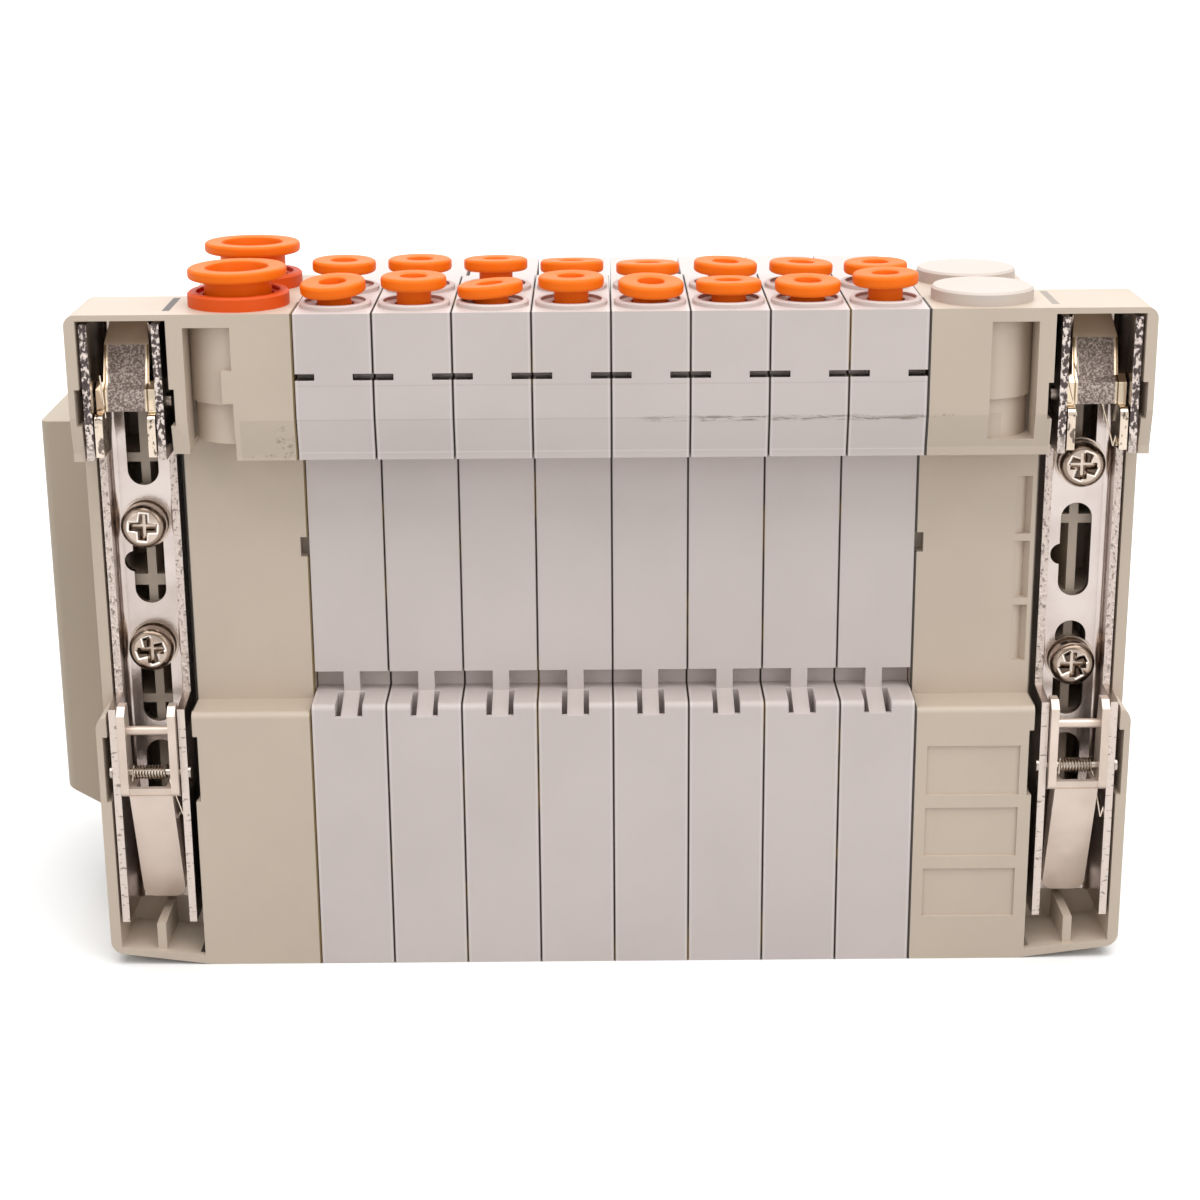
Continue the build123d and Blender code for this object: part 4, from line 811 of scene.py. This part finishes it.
socket = {"x": -62.35, "y": 36.0, "floor": 77.9, "wide": 19.6, "deep": 5.0, "plate": 0.4, "corner": 1.6,
          "cornerSegments": 5, "rows": (13, 12), "pinPitch": 1.38, "rowGap": 2.8, "pinRadius": 0.38,
          "pinTip": 0.8, "pinHigh": 3.4, "pinSides": 12}
bm = bmesh.new()
plate = bmesh.ops.create_cube(bm, size=1.0)
bmesh.ops.scale(bm, verts=plate["verts"], vec=Vector((socket["wide"], socket["deep"], socket["plate"])) * mm)
upright = [edge for edge in bm.edges if abs(edge.verts[0].co.z - edge.verts[1].co.z) > 1e-6]
bmesh.ops.bevel(bm, geom=upright, offset=socket["corner"] * mm, segments=socket["cornerSegments"],
                profile=0.5, affect="EDGES", material=-1)
faceMiddle = Vector((socket["x"], socket["y"], socket["floor"] + socket["plate"] / 2))
bmesh.ops.translate(bm, verts=bm.verts, vec=faceMiddle * mm)
newPiece(bm, "socket_face", "insulator", "base")

bm = bmesh.new()
pinMiddle = socket["floor"] + socket["plate"] + socket["pinHigh"] / 2
for row, count in enumerate(socket["rows"]):
    for k in range(count):
        pin = bmesh.ops.create_cone(bm, cap_ends=True, segments=socket["pinSides"],
                                    radius1=socket["pinRadius"] * mm,
                                    radius2=socket["pinRadius"] * socket["pinTip"] * mm,
                                    depth=socket["pinHigh"] * mm)
        spot = Vector((socket["x"] + (k - (count - 1) / 2) * socket["pinPitch"],
                       socket["y"] + (row - 0.5) * socket["rowGap"], pinMiddle))
        bmesh.ops.translate(bm, verts=pin["verts"], vec=spot * mm)
newPiece(bm, "socket_pins", "pinGold", "base")
print("socket filled")


# Light, floor and camera

lamps = {
    "frontLeft": {"spot": (-0.60, -0.75, 0.45), "target": (0, 0, 0.05), "size": (0.5, 0.6), "power": 1.3},
    "frontRight": {"spot": (0.65, -0.70, 0.40), "target": (0, 0, 0.05), "size": (0.5, 0.6), "power": 2.1},
    "backFill": {"spot": (0.0, 0.75, 0.55), "target": (0, 0, 0.06), "size": (0.8, 0.5), "power": 1.6},
}
overhead = {"strength": 3.1, "spread": 70, "lean": (7, 4, 0)}
backdrop = {"light": 0.4, "floor": (0.45, 0.45, 0.45, 1), "seenFloor": (0.9, 0.9, 0.9, 1),
            "floorRoughness": 0.9, "floorHalf": 8.0}

for name, lamp in lamps.items():
    areaData = bpy.data.lights.new(name, "AREA")
    areaData.shape = "RECTANGLE"
    areaData.size, areaData.size_y = lamp["size"]
    areaData.energy = lamp["power"]
    area = bpy.data.objects.new(name, areaData)
    bpy.context.scene.collection.objects.link(area)
    area.location = lamp["spot"]
    area.rotation_euler = (Vector(lamp["target"]) - Vector(lamp["spot"])).to_track_quat("-Z", "Y").to_euler()

sunData = bpy.data.lights.new("overhead", "SUN")
sunData.energy = overhead["strength"]
sunData.angle = radians(overhead["spread"])
sun = bpy.data.objects.new("overhead", sunData)
bpy.context.scene.collection.objects.link(sun)
sun.rotation_euler = [radians(turn) for turn in overhead["lean"]]


def seenRays(tree):
    # 1 for the rays that look at the backdrop, straight or in a reflection, and 0 for its light
    rays = tree.nodes.new("ShaderNodeLightPath").outputs
    return maths(tree, "MAXIMUM", maths(tree, "MAXIMUM", rays["Is Camera Ray"], rays["Is Glossy Ray"]),
                 rays["Is Transmission Ray"])


world = bpy.data.worlds.new("studio")
bpy.context.scene.world = world
world.use_nodes = True
worldTree = world.node_tree
surround = worldTree.nodes["Background"]
surround.inputs["Color"].default_value = (1, 1, 1, 1)
worldTree.links.new(ramp(worldTree, seenRays(worldTree), 0.0, 1.0, backdrop["light"], 1.0),
                    surround.inputs["Strength"])

bm = bmesh.new()
bmesh.ops.create_grid(bm, x_segments=1, y_segments=1, size=backdrop["floorHalf"])
floorMesh = bpy.data.meshes.new("studioFloor")
bm.to_mesh(floorMesh)
bm.free()
floor = bpy.data.objects.new("studioFloor", floorMesh)
bpy.context.scene.collection.objects.link(floor)
floorMaterial, floorTree, floorShader = newMaterial("floorPaper")
floorTree.links.new(blendColour(floorTree, seenRays(floorTree), backdrop["floor"], backdrop["seenFloor"]),
                    floorShader.inputs["Base Color"])
floorShader.inputs["Roughness"].default_value = backdrop["floorRoughness"]
dress(floorMesh, floorMaterial)

view = {"spot": (-0.001996, -0.321294, 0.151704), "pitch": 17.18, "yaw": 0.05, "roll": -0.44, "lens": 72.37,
        "sensor": 36.0, "clip": 0.01}
cameraData = bpy.data.cameras.new("camera")
cameraData.lens = view["lens"]
cameraData.sensor_width = view["sensor"]
cameraData.clip_start = view["clip"]
camera = bpy.data.objects.new("camera", cameraData)
bpy.context.scene.collection.objects.link(camera)
camera.matrix_world = (Matrix.Translation(view["spot"]) @ Matrix.Rotation(radians(-view["yaw"]), 4, "Z")
                       @ Matrix.Rotation(pi / 2 - radians(view["pitch"]), 4, "X")
                       @ Matrix.Rotation(radians(view["roll"]), 4, "Z"))
bpy.context.scene.camera = camera
bpy.context.scene.view_settings.view_transform = "Standard"
print("studio set")
